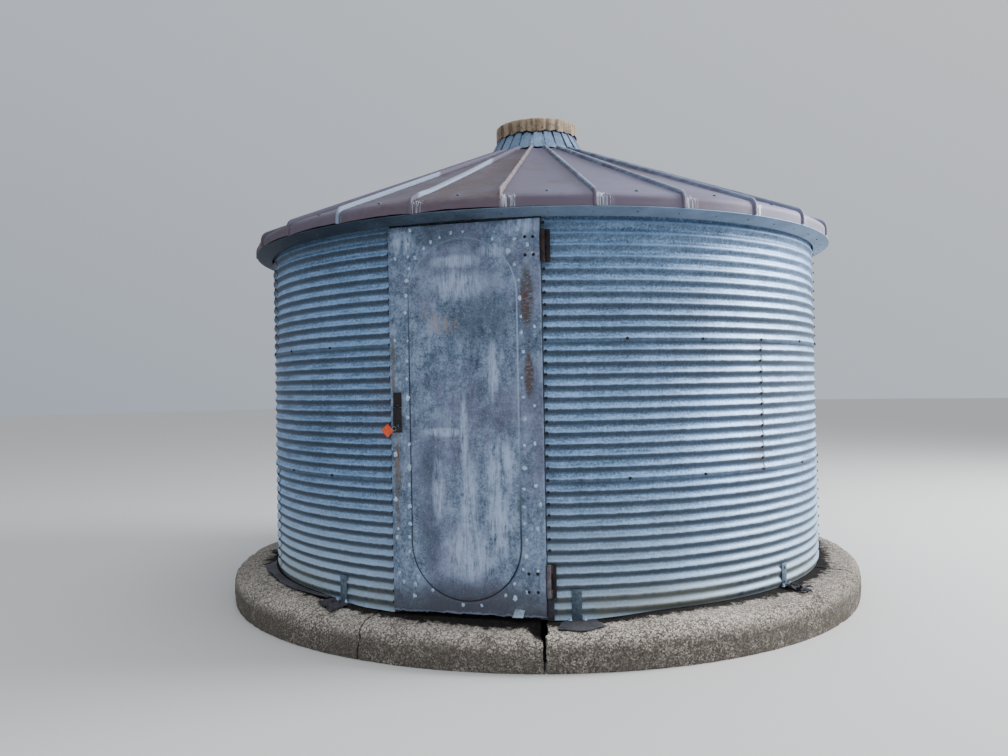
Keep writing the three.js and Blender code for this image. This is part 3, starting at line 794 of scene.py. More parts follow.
def turned(profile: Points, start: float, end: float, steps: int, closed: bool = False) -> Shape:
    """Spins a profile about the bin's axis.

    Args:
        profile: Points of radius and height.
        start: The azimuth where it starts.
        end: The azimuth where it ends, a full turn on for a whole ring.
        steps: How many strips there are round the turn.
        closed: Whether the last point joins the first.

    Returns:
        The spun surface, whose faces may still look either way.
    """
    shape = bmesh.new()
    line = [shape.verts.new(around(radius, start, height)) for radius, height in profile]
    for pair in zip(line, line[1:]):
        shape.edges.new(pair)
    if closed:
        shape.edges.new((line[-1], line[0]))
    whole = end - start >= 360.0
    spin(shape, end - start, steps, whole)
    if whole or closed:
        bmesh.ops.remove_doubles(shape, verts=shape.verts[:], dist=1e-5)
    return shape


def bend(shape: Shape, rule: Rule, near: float = 0.0) -> None:
    """Moves every vertex by a rule on its radius, azimuth and height."""
    for vert in shape.verts:
        vert.co = around(*rule(*polar(vert.co, near)))


def face_out(shape: Shape) -> None:
    """Turns an open sheet's faces away from the bin's axis or upwards."""
    shape.normal_update()
    up = Vector((0.0, 0.0, 4.0))
    if sum(face.normal.dot(face.calc_center_median() + up) for face in shape.faces) < 0.0:
        bmesh.ops.reverse_faces(shape, faces=shape.faces[:])


def align(shape: Shape) -> None:
    """Makes all the faces of a shape agree, outward where it is closed."""
    bmesh.ops.recalc_face_normals(shape, faces=shape.faces[:])


def look(shape: Shape, way: Sequence[float]) -> None:
    """Turns an open sheet over if its faces, taken together, look against a direction.

    Args:
        shape: The sheet.
        way: The direction its faces should look.
    """
    shape.normal_update()
    total = sum((face.normal * face.calc_area() for face in shape.faces), Vector())
    if total.dot(Vector(way)) < 0.0:
        bmesh.ops.reverse_faces(shape, faces=shape.faces[:])


def thicken(shape: Shape, thickness: float) -> None:
    """Gives an open sheet its thickness on the side its faces look away from."""
    bmesh.ops.solidify(shape, geom=shape.faces[:], thickness=thickness)


def close_ends(shape: Shape) -> None:
    """Fills every open loop of edges and turns all the faces out."""
    rims = [edge for edge in shape.edges if edge.is_boundary]
    bmesh.ops.holes_fill(shape, edges=rims, sides=0)
    bmesh.ops.triangulate(shape, faces=[face for face in shape.faces if len(face.verts) > 4])
    align(shape)


def layers(shape: Shape, *names: str) -> list[Any]:
    """Gives a shape's vertices a number for each name."""
    return [shape.verts.layers.float.new(name) for name in names]


def ring_of(shape: Shape, points: Sequence[Vector]) -> Edges:
    """Adds a closed ring of edges through points."""
    ring = [shape.verts.new(point) for point in points]
    return [shape.edges.new((ring[i - 1], ring[i])) for i in range(len(ring))]


def extrude(shape: Shape, edges: Edges) -> tuple[Verts, Edges]:
    """Extrudes a row of edges, and gives the new row's vertices and its free edges.

    Args:
        shape: The shape.
        edges: The row to extrude.

    Returns:
        The new vertices, and the free edges of the new row.
    """
    made = bmesh.ops.extrude_edge_only(shape, edges=edges)["geom"]
    fresh = [item for item in made if isinstance(item, bmesh.types.BMVert)]
    row = [item for item in made if isinstance(item, bmesh.types.BMEdge)]
    return fresh, [edge for edge in row if edge.is_boundary]


def gained(shape: Shape, before: set[bmesh.types.BMVert]) -> Verts:
    """Gives the vertices that a shape has and didn't have before."""
    return [vert for vert in shape.verts if vert not in before]


def ease(shape: Shape, edges: Edges, width: float) -> None:
    """Rounds edges with a bevel of a width.

    Args:
        shape: The shape.
        edges: The edges to round.
        width: How wide the bevel is.
    """
    bmesh.ops.bevel(
        shape,
        geom=edges,
        offset=width,
        offset_type="OFFSET",
        affect="EDGES",
        segments=2,
        profile=0.5,
        material=-1,
    )


def block(shape: Shape, low: Sequence[float], high: Sequence[float], edge: float = 0.0) -> None:
    """Adds a block between two corners, with its edges eased by a width.

    Args:
        shape: The shape to add to.
        low: The lowest corner.
        high: The highest corner.
        edge: The width of its edges' bevel.
    """
    before = set(shape.verts)
    made = bmesh.ops.create_cube(shape, size=1.0)["verts"]
    bmesh.ops.scale(shape, vec=[high[i] - low[i] for i in range(3)], verts=made)
    if edge > 0.0:
        ease(shape, list({one for vert in made for one in vert.link_edges}), edge)
    middle = [(high[i] + low[i]) / 2.0 for i in range(3)]
    bmesh.ops.translate(shape, vec=middle, verts=gained(shape, before))


def rod(
    shape: Shape, radius: float, length: float, at: Matrix, sides: int, edge: float = 0.0
) -> None:
    """Adds a rod along the placement's Z axis, with its ends rounded by an edge.

    Args:
        shape: The shape to add to.
        radius: The rod's radius.
        length: The rod's length.
        at: The placement of its middle.
        sides: How many sides it has.
        edge: The width of its ends' bevel.
    """
    before = set(shape.verts)
    bmesh.ops.create_cone(
        shape, cap_ends=True, segments=sides, radius1=radius, radius2=radius, depth=length
    )
    if edge > 0.0:
        links = {link for vert in gained(shape, before) for link in vert.link_edges}
        level = [one for one in links if abs(one.verts[0].co.z - one.verts[1].co.z) < 1e-6]
        ease(shape, level, edge)
    bmesh.ops.transform(shape, matrix=at, verts=gained(shape, before))


@dataclass(frozen=True)
class Bolt:
    """A hexagon-headed bolt on a washer."""

    head: float = 0.0070
    rise: float = 0.0052
    washer: float = 0.0100
    washer_rise: float = 0.0022

    def add(self, shape: Shape, at: Matrix, turn: float = 0.0) -> None:
        """Adds the bolt, standing on a placement's origin along its Z axis.

        Args:
            shape: The shape to add to.
            at: The placement.
            turn: How far the head is turned, in radians.
        """
        for radius, taper, rise, lift, sides, roll in (
            (self.washer, 0.9, self.washer_rise, self.washer_rise / 2.0 - 0.0006, 10, 0.0),
            (self.head, 0.88, self.rise, self.washer_rise + self.rise / 2.0 - 0.001, 6, turn),
        ):
            seat = at @ Matrix.Translation((0.0, 0.0, lift)) @ Matrix.Rotation(roll, 4, "Z")
            bmesh.ops.create_cone(
                shape,
                cap_ends=True,
                segments=sides,
                radius1=radius,
                radius2=radius * taper,
                depth=rise,
                matrix=seat,
            )


def settle(shape: Shape, name: str) -> bpy.types.Mesh:
    """Writes a shape to a new mesh and frees it."""
    mesh = bpy.data.meshes.new(name)
    shape.to_mesh(mesh)
    shape.free()
    return mesh


def joined(parts: Sequence[Shape]) -> Shape:
    """Joins shapes into one and frees them.

    Args:
        parts: The shapes, which are used up.

    Returns:
        The joined shape.
    """
    whole = bmesh.new()
    for part in parts:
        holder = settle(part, "holder")
        whole.from_mesh(holder)
        bpy.data.meshes.remove(holder)
    return whole


def show(name: str, data: bpy.types.ID) -> bpy.types.Object:
    """Puts some data in the scene as an object."""
    shown = bpy.data.objects.new(name, data)
    bpy.context.scene.collection.objects.link(shown)
    return shown


def publish(
    shape: Shape,
    name: str,
    body: Body,
    finish: Finish,
    stands_for: Sequence[str] = (),
    crease: float = 35.0,
) -> None:
    """Turns a finished shape into a piece of the bin.

    Args:
        shape: The shape, which is used up.
        name: The piece's name.
        body: The body it rides on.
        finish: Its finish.
        stands_for: The CAD nodes that it replaces.
        crease: The angle between faces past which an edge is sharp.
    """
    mesh = settle(shape, name)
    mesh.polygons.foreach_set("use_smooth", [True] * len(mesh.polygons))
    mesh.set_sharp_from_angle(angle=math.radians(crease))
    mesh.materials.append(finish.material())
    piece = show(name, mesh)
    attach(piece, body.value)
    if stands_for:
        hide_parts(*stands_for)
    LOG.info("%-28s %6d faces", name, len(mesh.polygons))


def dress_node(name: str, finish: Finish) -> None:
    """Gives a CAD node that stays showing its finish.

    Args:
        name: The node's name.
        finish: Its finish.
    """
    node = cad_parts[name]
    node.data.materials.clear()
    node.data.materials.append(finish.material())
    LOG.info("%-28s dressed", name)


@dataclass
class Footing:
    """The round concrete footing, cracked through in four places, with a floor slab inside."""

    profile: Points = (
        (1.950, 0.0), (2.440, 0.0), (2.446, 0.070), (2.446, 0.140), (2.435, 0.186), (2.402, 0.214),
        (2.335, 0.2275), (2.070, 0.2285), (1.950, 0.2285),
    )
    grain: float = 0.026
    cracks: tuple[float, ...] = (-15.5, 12.4, 77.0, 254.0)
    gaps: tuple[float, ...] = (0.012, 0.020, 0.018, 0.008)
    sides: tuple[str, ...] = ("front", "right", "back", "left")
    fade: float = 4.5
    slant: float = 0.23
    tip: float = 0.020

    def wander(self, radius: float, height: float, crack: int) -> float:
        """Gives how far a crack strays sideways at a place, in metres.

        Args:
            radius: The place's radius.
            height: The place's height.
            crack: Which crack it is.

        Returns:
            The distance.
        """
        spot = Vector((radius * 5.0, height * 6.0, 17.3 * crack))
        broad = noise(spot) * 0.030
        if crack == 0:
            broad += (radius - 2.25) * self.slant + 0.030
        return broad + noise(spot * 4.0) * 0.014 + noise(spot * 11.0) * 0.007

    def side(self, index: int) -> Shape:
        """Builds one broken length of the footing.

        Args:
            index: Which length it is.

        Returns:
            The closed shape.
        """
        start, end = self.cracks[index], self.cracks[(index + 1) % 4]
        if end < start:
            end += 360.0
        shape = bmesh.new()
        for edge in ring_of(shape, [around(r, start, z) for r, z in self.profile]):
            cuts = int(edge.calc_length() / self.grain)
            if cuts:
                bmesh.ops.subdivide_edges(shape, edges=[edge], cuts=cuts)
        spin(shape, end - start, round((end - start) * math.radians(2.4 / self.grain)))
        middle = (start + end) / 2.0

        def weather(radius: float, azimuth: float, height: float) -> Place:
            """Roughens a point, sinks it at the door and cracks the ends."""
            spot = around(radius, azimuth, height)
            lump = noise(spot * 3.0) * 0.006 + noise(spot * 17.0) * 0.005
            lump += noise(spot * 45.0) * 0.003
            broken = max(noise(spot * 7.0 + Vector((9.0, 2.0, 4.0))) - 0.28, 0.0)
            outer = smooth(radius, 2.30, 2.43)
            rise = smooth(height, 0.10, 0.22)
            slim = 0.030 * math.exp(-(((azimuth - 85.0) / 30.0) ** 2))
            out = radius - outer * (abs(lump) * 1.2 + broken * rise * 0.075 + slim)
            down = height - rise * (abs(lump) * 0.8 + broken * outer * 0.075)
            ahead = radius * math.cos(math.radians(azimuth))
            drop = sunk(azimuth) * max(smooth(ahead, 2.046, 2.068), smooth(radius, 2.09, 2.12))
            if index == 0:
                drop += self.tip * smooth(azimuth, -15.5, 12.4) * smooth(radius, 2.066, 2.2)
                chip = smooth(azimuth + noise(spot * 9.0) * 1.2, 9.6, 12.6)
                shelf = smooth(radius, 2.12, 2.20)
                drop += 0.055 * chip * shelf * (1.0 - smooth(radius, 2.28, 2.40))
            down -= drop * smooth(height, 0.04, 0.20)
            shift = 0.0
            for crack, sign in ((index, 1.0), ((index + 1) % 4, -1.0)):
                edge_azimuth = start if sign > 0 else end
                away = abs(azimuth - edge_azimuth)
                hold = 1.0 - smooth(away, 0.0, self.fade)
                stray = self.wander(radius, height, crack) + sign * self.gaps[crack] / 2.0
                if crack == 1 and sign < 0:
                    stray -= 0.010 * smooth(height, 0.13, 0.22) * (1.0 - smooth(radius, 2.24, 2.42))
                    stray -= 0.006 * smooth(height, 0.10, 0.22)
                shift += hold * math.degrees(stray / radius)
            return out, azimuth + shift, max(down, 0.0)

        bend(shape, weather, middle)
        close_ends(shape)
        return shape

    def build(self) -> None:
        """Builds the four lengths and dresses the floor slab."""
        for index, side in enumerate(self.sides):
            name = f"footing_{side}"
            publish(self.side(index), f"{name}_weathered", Body.BIN, CONCRETE, (name,), 50.0)
        dress_node("floor_slab", CONCRETE)


@dataclass
class Wall:
    """Three rings of lapped corrugated sheets, with a bolt on each crest of a seam."""

    crest: float = 2.1335
    depth: float = 0.0127
    pitch: float = PITCH
    gap: float = 0.0003
    corrugations: tuple[int, ...] = (11, 12, 12)
    rings: tuple[str, ...] = ("bottom", "middle", "top")
    rows: int = 8
    column: float = 2.0
    sheet: float = 0.0011
    lap: float = 0.0030
    lap_half: float = 0.75
    strip: float = 0.30
    lift: float = 0.0095
    tuck: float = 0.030
    bay: float = PANEL
    door_edge: float = 12.90
    short: float = 38.95
    full_sheets: int = 4
    jamb_bolts: tuple[float, float] = (13.20, -12.86)
    lap_bolts: tuple[float, ...] = (26.1, 39.6, 53.2, 67.3, 81.0)
    lap_bolts_left: tuple[float, ...] = (-26.8, -40.7, -54.5, -68.4)
    lap_bolts_rear: tuple[float, ...] = tuple(84.0 + 15.0 * i for i in range(14))
    hinge_room: float = 0.13
    last_jamb_bolt: float = 2.54
    bolt: Bolt = Bolt()

    def bottom(self, ring: int) -> float:
        """Gives the height of a ring's lower edge."""
        below = sum(self.corrugations[:ring])
        return FOOTING_TOP + self.gap * (ring + 1) + below * self.pitch

    def dent(self, azimuth: float, height: float) -> float:
        """Gives how far the sheet stands out of true at a place."""
        spot = around(1.9, azimuth, height)
        return noise(spot * 1.6) * 0.0022 + noise(spot * 5.0) * 0.0009

    def radius(self, azimuth: float, height: float, ring: int) -> float:
        """Gives the outer radius of the corrugated sheet at a place.

        Args:
            azimuth: The place's azimuth.
            height: The place's height.
            ring: Which ring the sheet is in.

        Returns:
            The radius.
        """
        spot = around(2.1, azimuth, height)
        sway = noise(spot * 0.9 + Vector((5.0, 1.0, 2.0))) * 0.0030
        sway += noise(spot * 3.5) * 0.0012
        turn = 2.0 * math.pi * (height + sway - self.bottom(ring)) / self.pitch
        wave = self.depth * (0.5 + 0.5 * math.cos(turn))
        return self.crest - wave + self.dent(azimuth, height) - 0.001

    def seams(self, ring: int) -> list[float]:
        """Gives the azimuths where a ring's sheets meet, door bay edges included.

        Args:
            ring: Which ring it is.

        Returns:
            The azimuths in order, from the right of the door round to its left.
        """
        first, last = self.bay, 360.0 - self.bay
        full = (last - first - self.short) / self.full_sheets
        if ring == 1:
            return [first, *(first + self.short + i * full for i in range(self.full_sheets + 1))]
        return [*(first + i * full for i in range(self.full_sheets + 1)), last]

    def one_sheet(self, ring: int, index: int) -> Shape:
        """Builds one sheet, which laps outside the sheet after it and the ring below.

        Args:
            ring: Which ring the sheet is in.
            index: Which sheet of the ring it is.

        Returns:
            The thickened sheet.
        """
        seams = self.seams(ring)
        first, last = index == 0, index == len(seams) - 2
        start = self.door_edge if first else seams[index] - self.lap_half
        end = 360.0 - self.door_edge if last else seams[index + 1] + self.lap_half
        base = self.bottom(ring)
        nominal = base + self.corrugations[ring] * self.pitch
        top = nominal + (self.tuck if ring < 2 else 0.0)
        low = base + (self.lift if ring else 0.0)
        shape = bmesh.new()
        ends = [shape.verts.new(around(self.crest, start, height)) for height in (low, top)]
        edge = shape.edges.new(ends)
        cuts = self.corrugations[ring] * self.rows
        bmesh.ops.subdivide_edges(shape, edges=[edge], cuts=cuts)
        columns = max(round((end - start) / self.column), 2)
        stride = (end - start) / columns
        spin(shape, end - start, columns)

        def corrugate(_: float, azimuth: float, height: float) -> Place:
            """Puts a point on the corrugated face, with its laps."""
            left_over = columns - round((azimuth - start) / stride)
            if left_over in (1, 2):
                azimuth = end - self.strip * left_over
            if ring == 0:
                raised = smooth(height, base, base + 0.5 * self.pitch)
                height -= sunk(azimuth) * 0.9 * (1.0 - raised)
            out = self.radius(azimuth, height, ring)
            if not last:
                out += self.lap * smooth(azimuth, end - 5.0, end - 0.5)
            if ring:
                out += self.lap * (1.0 - smooth(height, base + 0.01, base + 2.0 * self.pitch))
            if ring < 2:
                out -= 0.004 * smooth(height, nominal + 0.006, nominal + 0.014)
            return out, azimuth, height

        bend(shape, corrugate, (start + end) / 2.0)
        self.mark(shape, ring, index, (start + end) / 2.0)
        face_out(shape)
        thicken(shape, self.sheet)
        return shape

    def mark(self, shape: Shape, ring: int, index: int, near: float) -> None:
        """Marks painted shadow lines along a sheet's free edges and just under the ring above, the
        band of its lap, and rust near its bolts.

        Args:
            shape: The open sheet.
            ring: Which ring the sheet is in.
            index: Which sheet of the ring it is.
            near: The azimuth of the sheet's middle.
        """
        rust, seam, lap = layers(shape, "rust", "seam", "lap")
        seams = self.seams(ring)
        end = seams[index + 1] + self.lap_half
        edged = index < len(seams) - 2
        base = self.bottom(ring)
        over = base + self.corrugations[ring] * self.pitch
        for vert in shape.verts:
            _, azimuth, height = polar(vert.co, near)
            away = min(abs(azimuth - place) for place in seams)
            spot = noise(vert.co * 2.3) + 0.35
            vert[rust] = max(0.0, 1.0 - away / 1.3) * min(max(spot, 0.0), 1.0) * 0.55
            up = height - base
            # The seam number holds painted shadow lines: at a lapped sheet's free end, along a
            # ring's hanging lower edge, and just under the ring above.
            side = 0.9 * (1.0 - smooth(end - azimuth, self.strip, 2.0 * self.strip))
            edge = 0.95 - smooth(up, self.lift + 0.007, self.lift + 0.019) if ring else 0.0
            under = abs(height - over - 0.004) if ring < 2 else 1.0
            line = 0.75 * (1.0 - smooth(under, 0.0045, 0.012))
            vert[seam] = max(side if edged else 0.0, edge, line)
            vert[lap] = 1.0 - smooth(up, 0.026, 0.040) if ring else 0.0

    def bolts(self, ring: int) -> Shape:
        """Builds a ring's bolts: one on each crest of a seam, and a row along the lap.

        Args:
            ring: Which ring it is.

        Returns:
            All its bolts.
        """
        shape = bmesh.new()
        dice = Random(40 + ring)
        places: list[tuple[float, float]] = []
        base = self.bottom(ring)
        crests = [base + (i + 0.5) * self.pitch for i in range(self.corrugations[ring])]
        for seam in self.seams(ring)[1:-1]:
            places += [(seam, height) for height in crests]
        for azimuth in self.jamb_bolts:
            hinges = (LOWER_HINGE, UPPER_HINGE) if azimuth > 0.0 else ()
            for height in crests:
                clear = all(abs(height - hinge) >= self.hinge_room for hinge in hinges)
                if clear and height < self.last_jamb_bolt:
                    places.append((azimuth, height))
        if ring:
            for azimuth in (*self.lap_bolts, *self.lap_bolts_left, *self.lap_bolts_rear):
                places.append((azimuth, crests[0] - 0.002))
        for azimuth, height in places:
            azimuth += dice.uniform(-0.06, 0.06)
            height += dice.uniform(-0.002, 0.002)
            out = self.radius(azimuth, height, ring) + self.lap * 0.9
            at = facing(around(out, azimuth, height), around(1.0, azimuth, 0.0))
            self.bolt.add(shape, at, dice.uniform(0.0, 1.0))
        return shape

    def build(self) -> None:
        """Builds every sheet and its bolts."""
        for ring, name in enumerate(self.rings):
            for index in range(len(self.seams(ring)) - 1):
                node = f"wall_{name}_sheet_{index + 1}"
                sheet = self.one_sheet(ring, index)
                publish(sheet, f"{node}_skin", Body.BIN, WALL_ZINC, (node,), 60.0)
            publish(self.bolts(ring), f"wall_{name}_bolts", Body.BIN, BLACK_IRON)


@dataclass
class Eave:
    """The flashing under the roof's edge, with a bolt under each rib and each panel's middle."""

    wall: float = 2.1350
    soffit: float = 2.5335
    outer: float = 2.2465
    edge: float = 2.5700
    sheet: float = 0.0016
    bolt: Bolt = Bolt(head=0.0045, rise=0.003, washer=0.0060)

    def half(self, start: float) -> Shape:
        """Builds half of the flashing's ring.

        Args:
            start: The azimuth where it starts.

        Returns:
            The thickened strip.
        """
        profile = [
            (self.wall, self.soffit + 0.036),
            (self.wall, self.soffit + 0.004),
            (self.wall + 0.003, self.soffit),
            (self.wall + 0.060, self.soffit + 0.019),
            (self.outer, self.edge - 0.004),
            (self.outer - 0.0012, self.edge + 0.0012),
        ]
        shape = turned(profile, start, start + 180.0, RING_STEPS)
        align(shape)
        look(shape, (0.0, 0.0, -1.0))
        thicken(shape, self.sheet)
        return shape

    def bolts(self) -> Shape:
        """Builds the row of soffit bolts."""
        shape = bmesh.new()
        slope = (self.edge - self.soffit) / (self.outer - self.wall)
        for index in range(2 * ROOF_PANELS):
            azimuth = index * FACET + 0.6 * noise(Vector((index, 3.1, 0.0)))
            radius = self.wall + 0.052
            height = self.soffit + slope * 0.052 - 0.0005
            down = around(slope, azimuth, -1.0).normalized()
            self.bolt.add(shape, facing(around(radius, azimuth, height), down), index * 0.7)
        return shape

    def build(self) -> None:
        """Builds the flashing and its bolts."""
        for name, start in (("front", -90.0), ("back", 90.0)):
            node = f"eave_flashing_{name}"
            publish(self.half(start), f"{node}_strip", Body.BIN, EAVE_STRIP, (node,))
        publish(self.bolts(), "eave_bolts", Body.BIN, DARK_STRIP)


@dataclass
class Roof:
    """A cone of 26 rusted panels with raised ribs, a bolt on each and a bent-down skirt."""

    edge: float = 2.248
    drip: float = 2.573
    bend_radius: float = 0.060
    foot: float = 0.410
    foot_height: float = 3.418
    slope: float = 22.74
    hole: float = 0.305
    sheet: float = 0.0016
    rib_half: float = 0.0100
    rib_height: float = 0.0235
    rib_lip: float = 0.0100
    rib_top: float = 0.420
    section: Points = (
        (-1.0, 0.0), (-1.0, 0.55), (-0.85, 0.88), (-0.5, 1.0), (0.5, 1.0), (0.85, 0.88),
        (1.0, 0.55), (1.0, 0.0),
    )
    stations: int = 16
    sectors: tuple[tuple[str, int, int], ...] = (
        ("front", -3, 7),
        ("right", 4, 6),
        ("back", 10, 7),
        ("left", 17, 6),
    )
    open_rib: int = 0
    spread_rib: int = -1
    stripped_rib: int = -2
    bolt_radius: float = 2.172
    bolt: Bolt = Bolt(head=0.0080, rise=0.0040, washer=0.0120, washer_rise=0.0085)

    def line(self, lift: float, lip_lift: float | None = None) -> list[tuple[float, float]]:
        """Gives the roof's outline from its drip edge to the hole.

        Args:
            lift: How far the outline stands off the panel.
            lip_lift: The same at the drip edge, where it differs.

        Returns:
            Points of radius and height.
        """
        tilt = math.radians(self.slope)
        normal = math.pi / 2.0 - tilt
        middle = self.edge - self.bend_radius
        tangent = middle + self.bend_radius * math.cos(normal)
        centre = self.on_cone(tangent) - self.bend_radius * math.sin(normal)
        lip = lift if lip_lift is None else lip_lift
        points = [(self.edge + lip, self.drip), (self.edge + lip, (self.drip + centre) / 2.0)]
        arc = 6
        for i in range(arc + 1):
            angle = normal * i / arc
            reach = self.bend_radius + lip + (lift - lip) * smooth(i, 0, arc)
            points.append((middle + reach * math.cos(angle), centre + reach * math.sin(angle)))
        for i in range(1, self.stations + 1):
            share = i / self.stations
            radius = tangent + (self.hole - tangent) * share
            points.append(
                (radius + lift * math.cos(normal), self.on_cone(radius) + lift * math.sin(normal))
            )
        return points

    def on_cone(self, radius: float) -> float:
        """Gives the height of the cone's outer face at a radius."""
        return self.foot_height + (self.foot - radius) * math.tan(math.radians(self.slope))

    def panel(self, index: int) -> Shape:
        """Builds one panel, sagging between its ribs, with an uneven lower edge.

        Args:
            index: Which panel it is, counted from the front.

        Returns:
            The thickened panel.
        """
        middle = index * PANEL
        half = FACET + 0.04
        shape = turned(self.line(-0.0022), middle - half, middle + half, 12)
        tone, run, lee = layers(shape, "tone", "run", "lee")
        dice = Random(700 + index)
        shade = dice.random()
        run_side = dice.uniform(0.5, 1.0) if -1 < index < 9 else dice.uniform(0.0, 0.7)
        if index < 0 or index > 19:
            run_side *= 0.25
        loose = 0.12 if 0 < index < 9 else 1.0
        tilt = dice.uniform(-0.004, 0.004) * loose

        def sag(radius: float, azimuth: float, height: float) -> Place:
            """Lets a point sag between the ribs and waves the lower edge."""
            across = (azimuth - middle) / half
            bow = 1.0 - across * across
            spot = around(radius, azimuth, height)
            belly = smooth(radius, 0.45, 1.1) * (1.0 - smooth(radius, 1.9, 2.2))
            ripple = noise(spot * 2.2) * 0.006 + noise(spot * 6.0) * 0.002
            drop = bow * (0.010 * belly + 0.003) - ripple * bow
            ragged = abs(noise(Vector((azimuth * 0.35, 8.0, 0.0))))
            edge_wave = loose * (0.007 * bow + 0.006 * ragged) + tilt * across
            edge_wave *= 1.0 - smooth(height, self.drip, self.drip + 0.05)
            out = radius - (1.0 - smooth(height, 2.6, 2.64)) * bow * 0.004
            return out, azimuth, height - drop * smooth(height, 2.60, 2.66) + edge_wave

        bend(shape, sag, middle)
        for vert in shape.verts:
            _, azimuth, height = polar(vert.co, middle)
            across = (azimuth - middle) / half
            vert[tone] = shade
            near_left = max(0.0, 1.0 - (across + 1.0) / 0.42)
            vert[run] = near_left * run_side * (1.0 - smooth(height, 2.635, 2.67))
            # Beside the ribs, on the slope, the panel carries painted shade.
            side = max(smooth(across, 0.55, 1.0), 1.0 - smooth(across, -1.0, -0.75))
            vert[lee] = 0.50 * side * smooth(height, 2.60, 2.66)
        face_out(shape)
        thicken(shape, self.sheet)
        return shape

    def rib(self, index: int) -> Shape:
        """Builds the rib after a panel: a rounded channel that gets lower over the skirt.

        Args:
            index: Which panel it comes after.

        Returns:
            The closed rib.
        """
        azimuth = (index + 0.5) * PANEL
        crown = [p for p in self.line(self.rib_height, self.rib_lip) if p[0] > self.rib_top - 0.02]
        root = self.line(-0.004)[: len(crown)]
        shape = bmesh.new()
        side = around(1.0, azimuth + 90.0, 0.0)

        def spot(place: int, across: float, up: float) -> Vector:
            """Gives a point of the rib at a station of its line."""
            half, rise = self.rib_shape(index, crown[place])
            low = around(root[place][0], azimuth, root[place][1])
            high = around(crown[place][0], azimuth, crown[place][1])
            wobble = 0.0030 * noise(Vector((index * 3.0, place * 0.6, across * 0.8)))
            return low.lerp(high, up * rise) + side * (across * half + wobble)

        edges = ring_of(shape, [spot(0, *corner) for corner in self.section])
        for place in range(1, len(crown)):
            fresh, edges = extrude(shape, edges)
            for vert in fresh:
                corner = min(self.section, key=lambda c: (spot(place - 1, *c) - vert.co).length)
                vert.co = spot(place, *corner)
        self.mark_rib(shape, index)
        close_ends(shape)
        return shape

    def rib_shape(self, index: int, place: tuple[float, float]) -> tuple[float, float]:
        """Gives a rib's half width and its share of the full rise at a place.

        Args:
            index: Which rib it is.
            place: The radius and the height of the place.

        Returns:
            The half width, and the share of the rise.
        """
        radius, height = place
        half, rise = self.rib_half, 1.0
        if index == self.spread_rib:
            spread = smooth(radius, 0.95, 1.5) * (1.0 - smooth(radius, 1.95, 2.12))
            half += 0.017 * spread
            rise -= 0.35 * spread
        elif index == self.open_rib:
            blunt = smooth(radius, 1.98, 2.03) * smooth(height, 2.66, 2.69)
            half += 0.004 * blunt - 0.0035
            rise += 0.35 * blunt - 0.45 * (1.0 - smooth(height, 2.655, 2.675))
        return half, rise

    def mark_rib(self, shape: Shape, index: int) -> None:
        """Marks where a rib is worn to bare zinc or has chalky rust, its full tone, which is
        painted light, and its pale top, which is partly wear and partly painted highlight.

        Args:
            shape: The rib.
            index: Which rib it is.
        """
        bare, chalk, tone = layers(shape, "bare", "chalk", "tone")
        for vert in shape.verts:
            radius, _, height = polar(vert.co)
            # A full tone lightens every rib: painted light.
            vert[tone] = 1.0
            # A pale, dusty top on each rib, raised on the front-right ribs as a painted highlight.
            slope = smooth(height, 2.64, 2.68)
            crown = (0.50 if 0 < index < 8 else 0.20) * slope
            crown *= max(smooth(height - self.on_cone(radius), 0.012, 0.022), 0.80)
            if index == self.spread_rib:
                crown = smooth(radius, 0.98, 1.06) * (1.0 - smooth(radius, 2.08, 2.14))
            elif index == self.stripped_rib:
                crown = smooth(radius, 1.20, 1.34)
            vert[bare] = crown
            vert[chalk] = 0.85 if index == self.open_rib else 0.0

    def bolts(self) -> Shape:
        """Builds the bolt at each panel's middle, just above the bend."""
        shape = bmesh.new()
        tilt = math.radians(self.slope)
        seat = self.on_cone(self.bolt_radius) - 0.0095
        for index in range(ROOF_PANELS):
            azimuth = index * PANEL + 0.4 * noise(Vector((index, 5.7, 0.0)))
            out = around(math.sin(tilt), azimuth, math.cos(tilt))
            self.bolt.add(shape, facing(around(self.bolt_radius, azimuth, seat), out), index * 0.9)
        return shape

    def build(self) -> None:
        """Builds the panels and the ribs of each sector, one piece each, and the bolts."""
        for side, first, count in self.sectors:
            span = range(first, first + count)
            panels = joined([self.panel(index) for index in span])
            node = f"roof_panels_{side}"
            publish(panels, f"{node}_sheets", Body.BIN, ROOF_RUST, (node,), 50.0)
            ribs = joined([self.rib(index) for index in span])
            publish(ribs, f"roof_ribs_{side}", Body.BIN, ROOF_RUST, crease=50.0)
        publish(self.bolts(), "roof_panel_bolts", Body.BIN, DARK_STRIP)


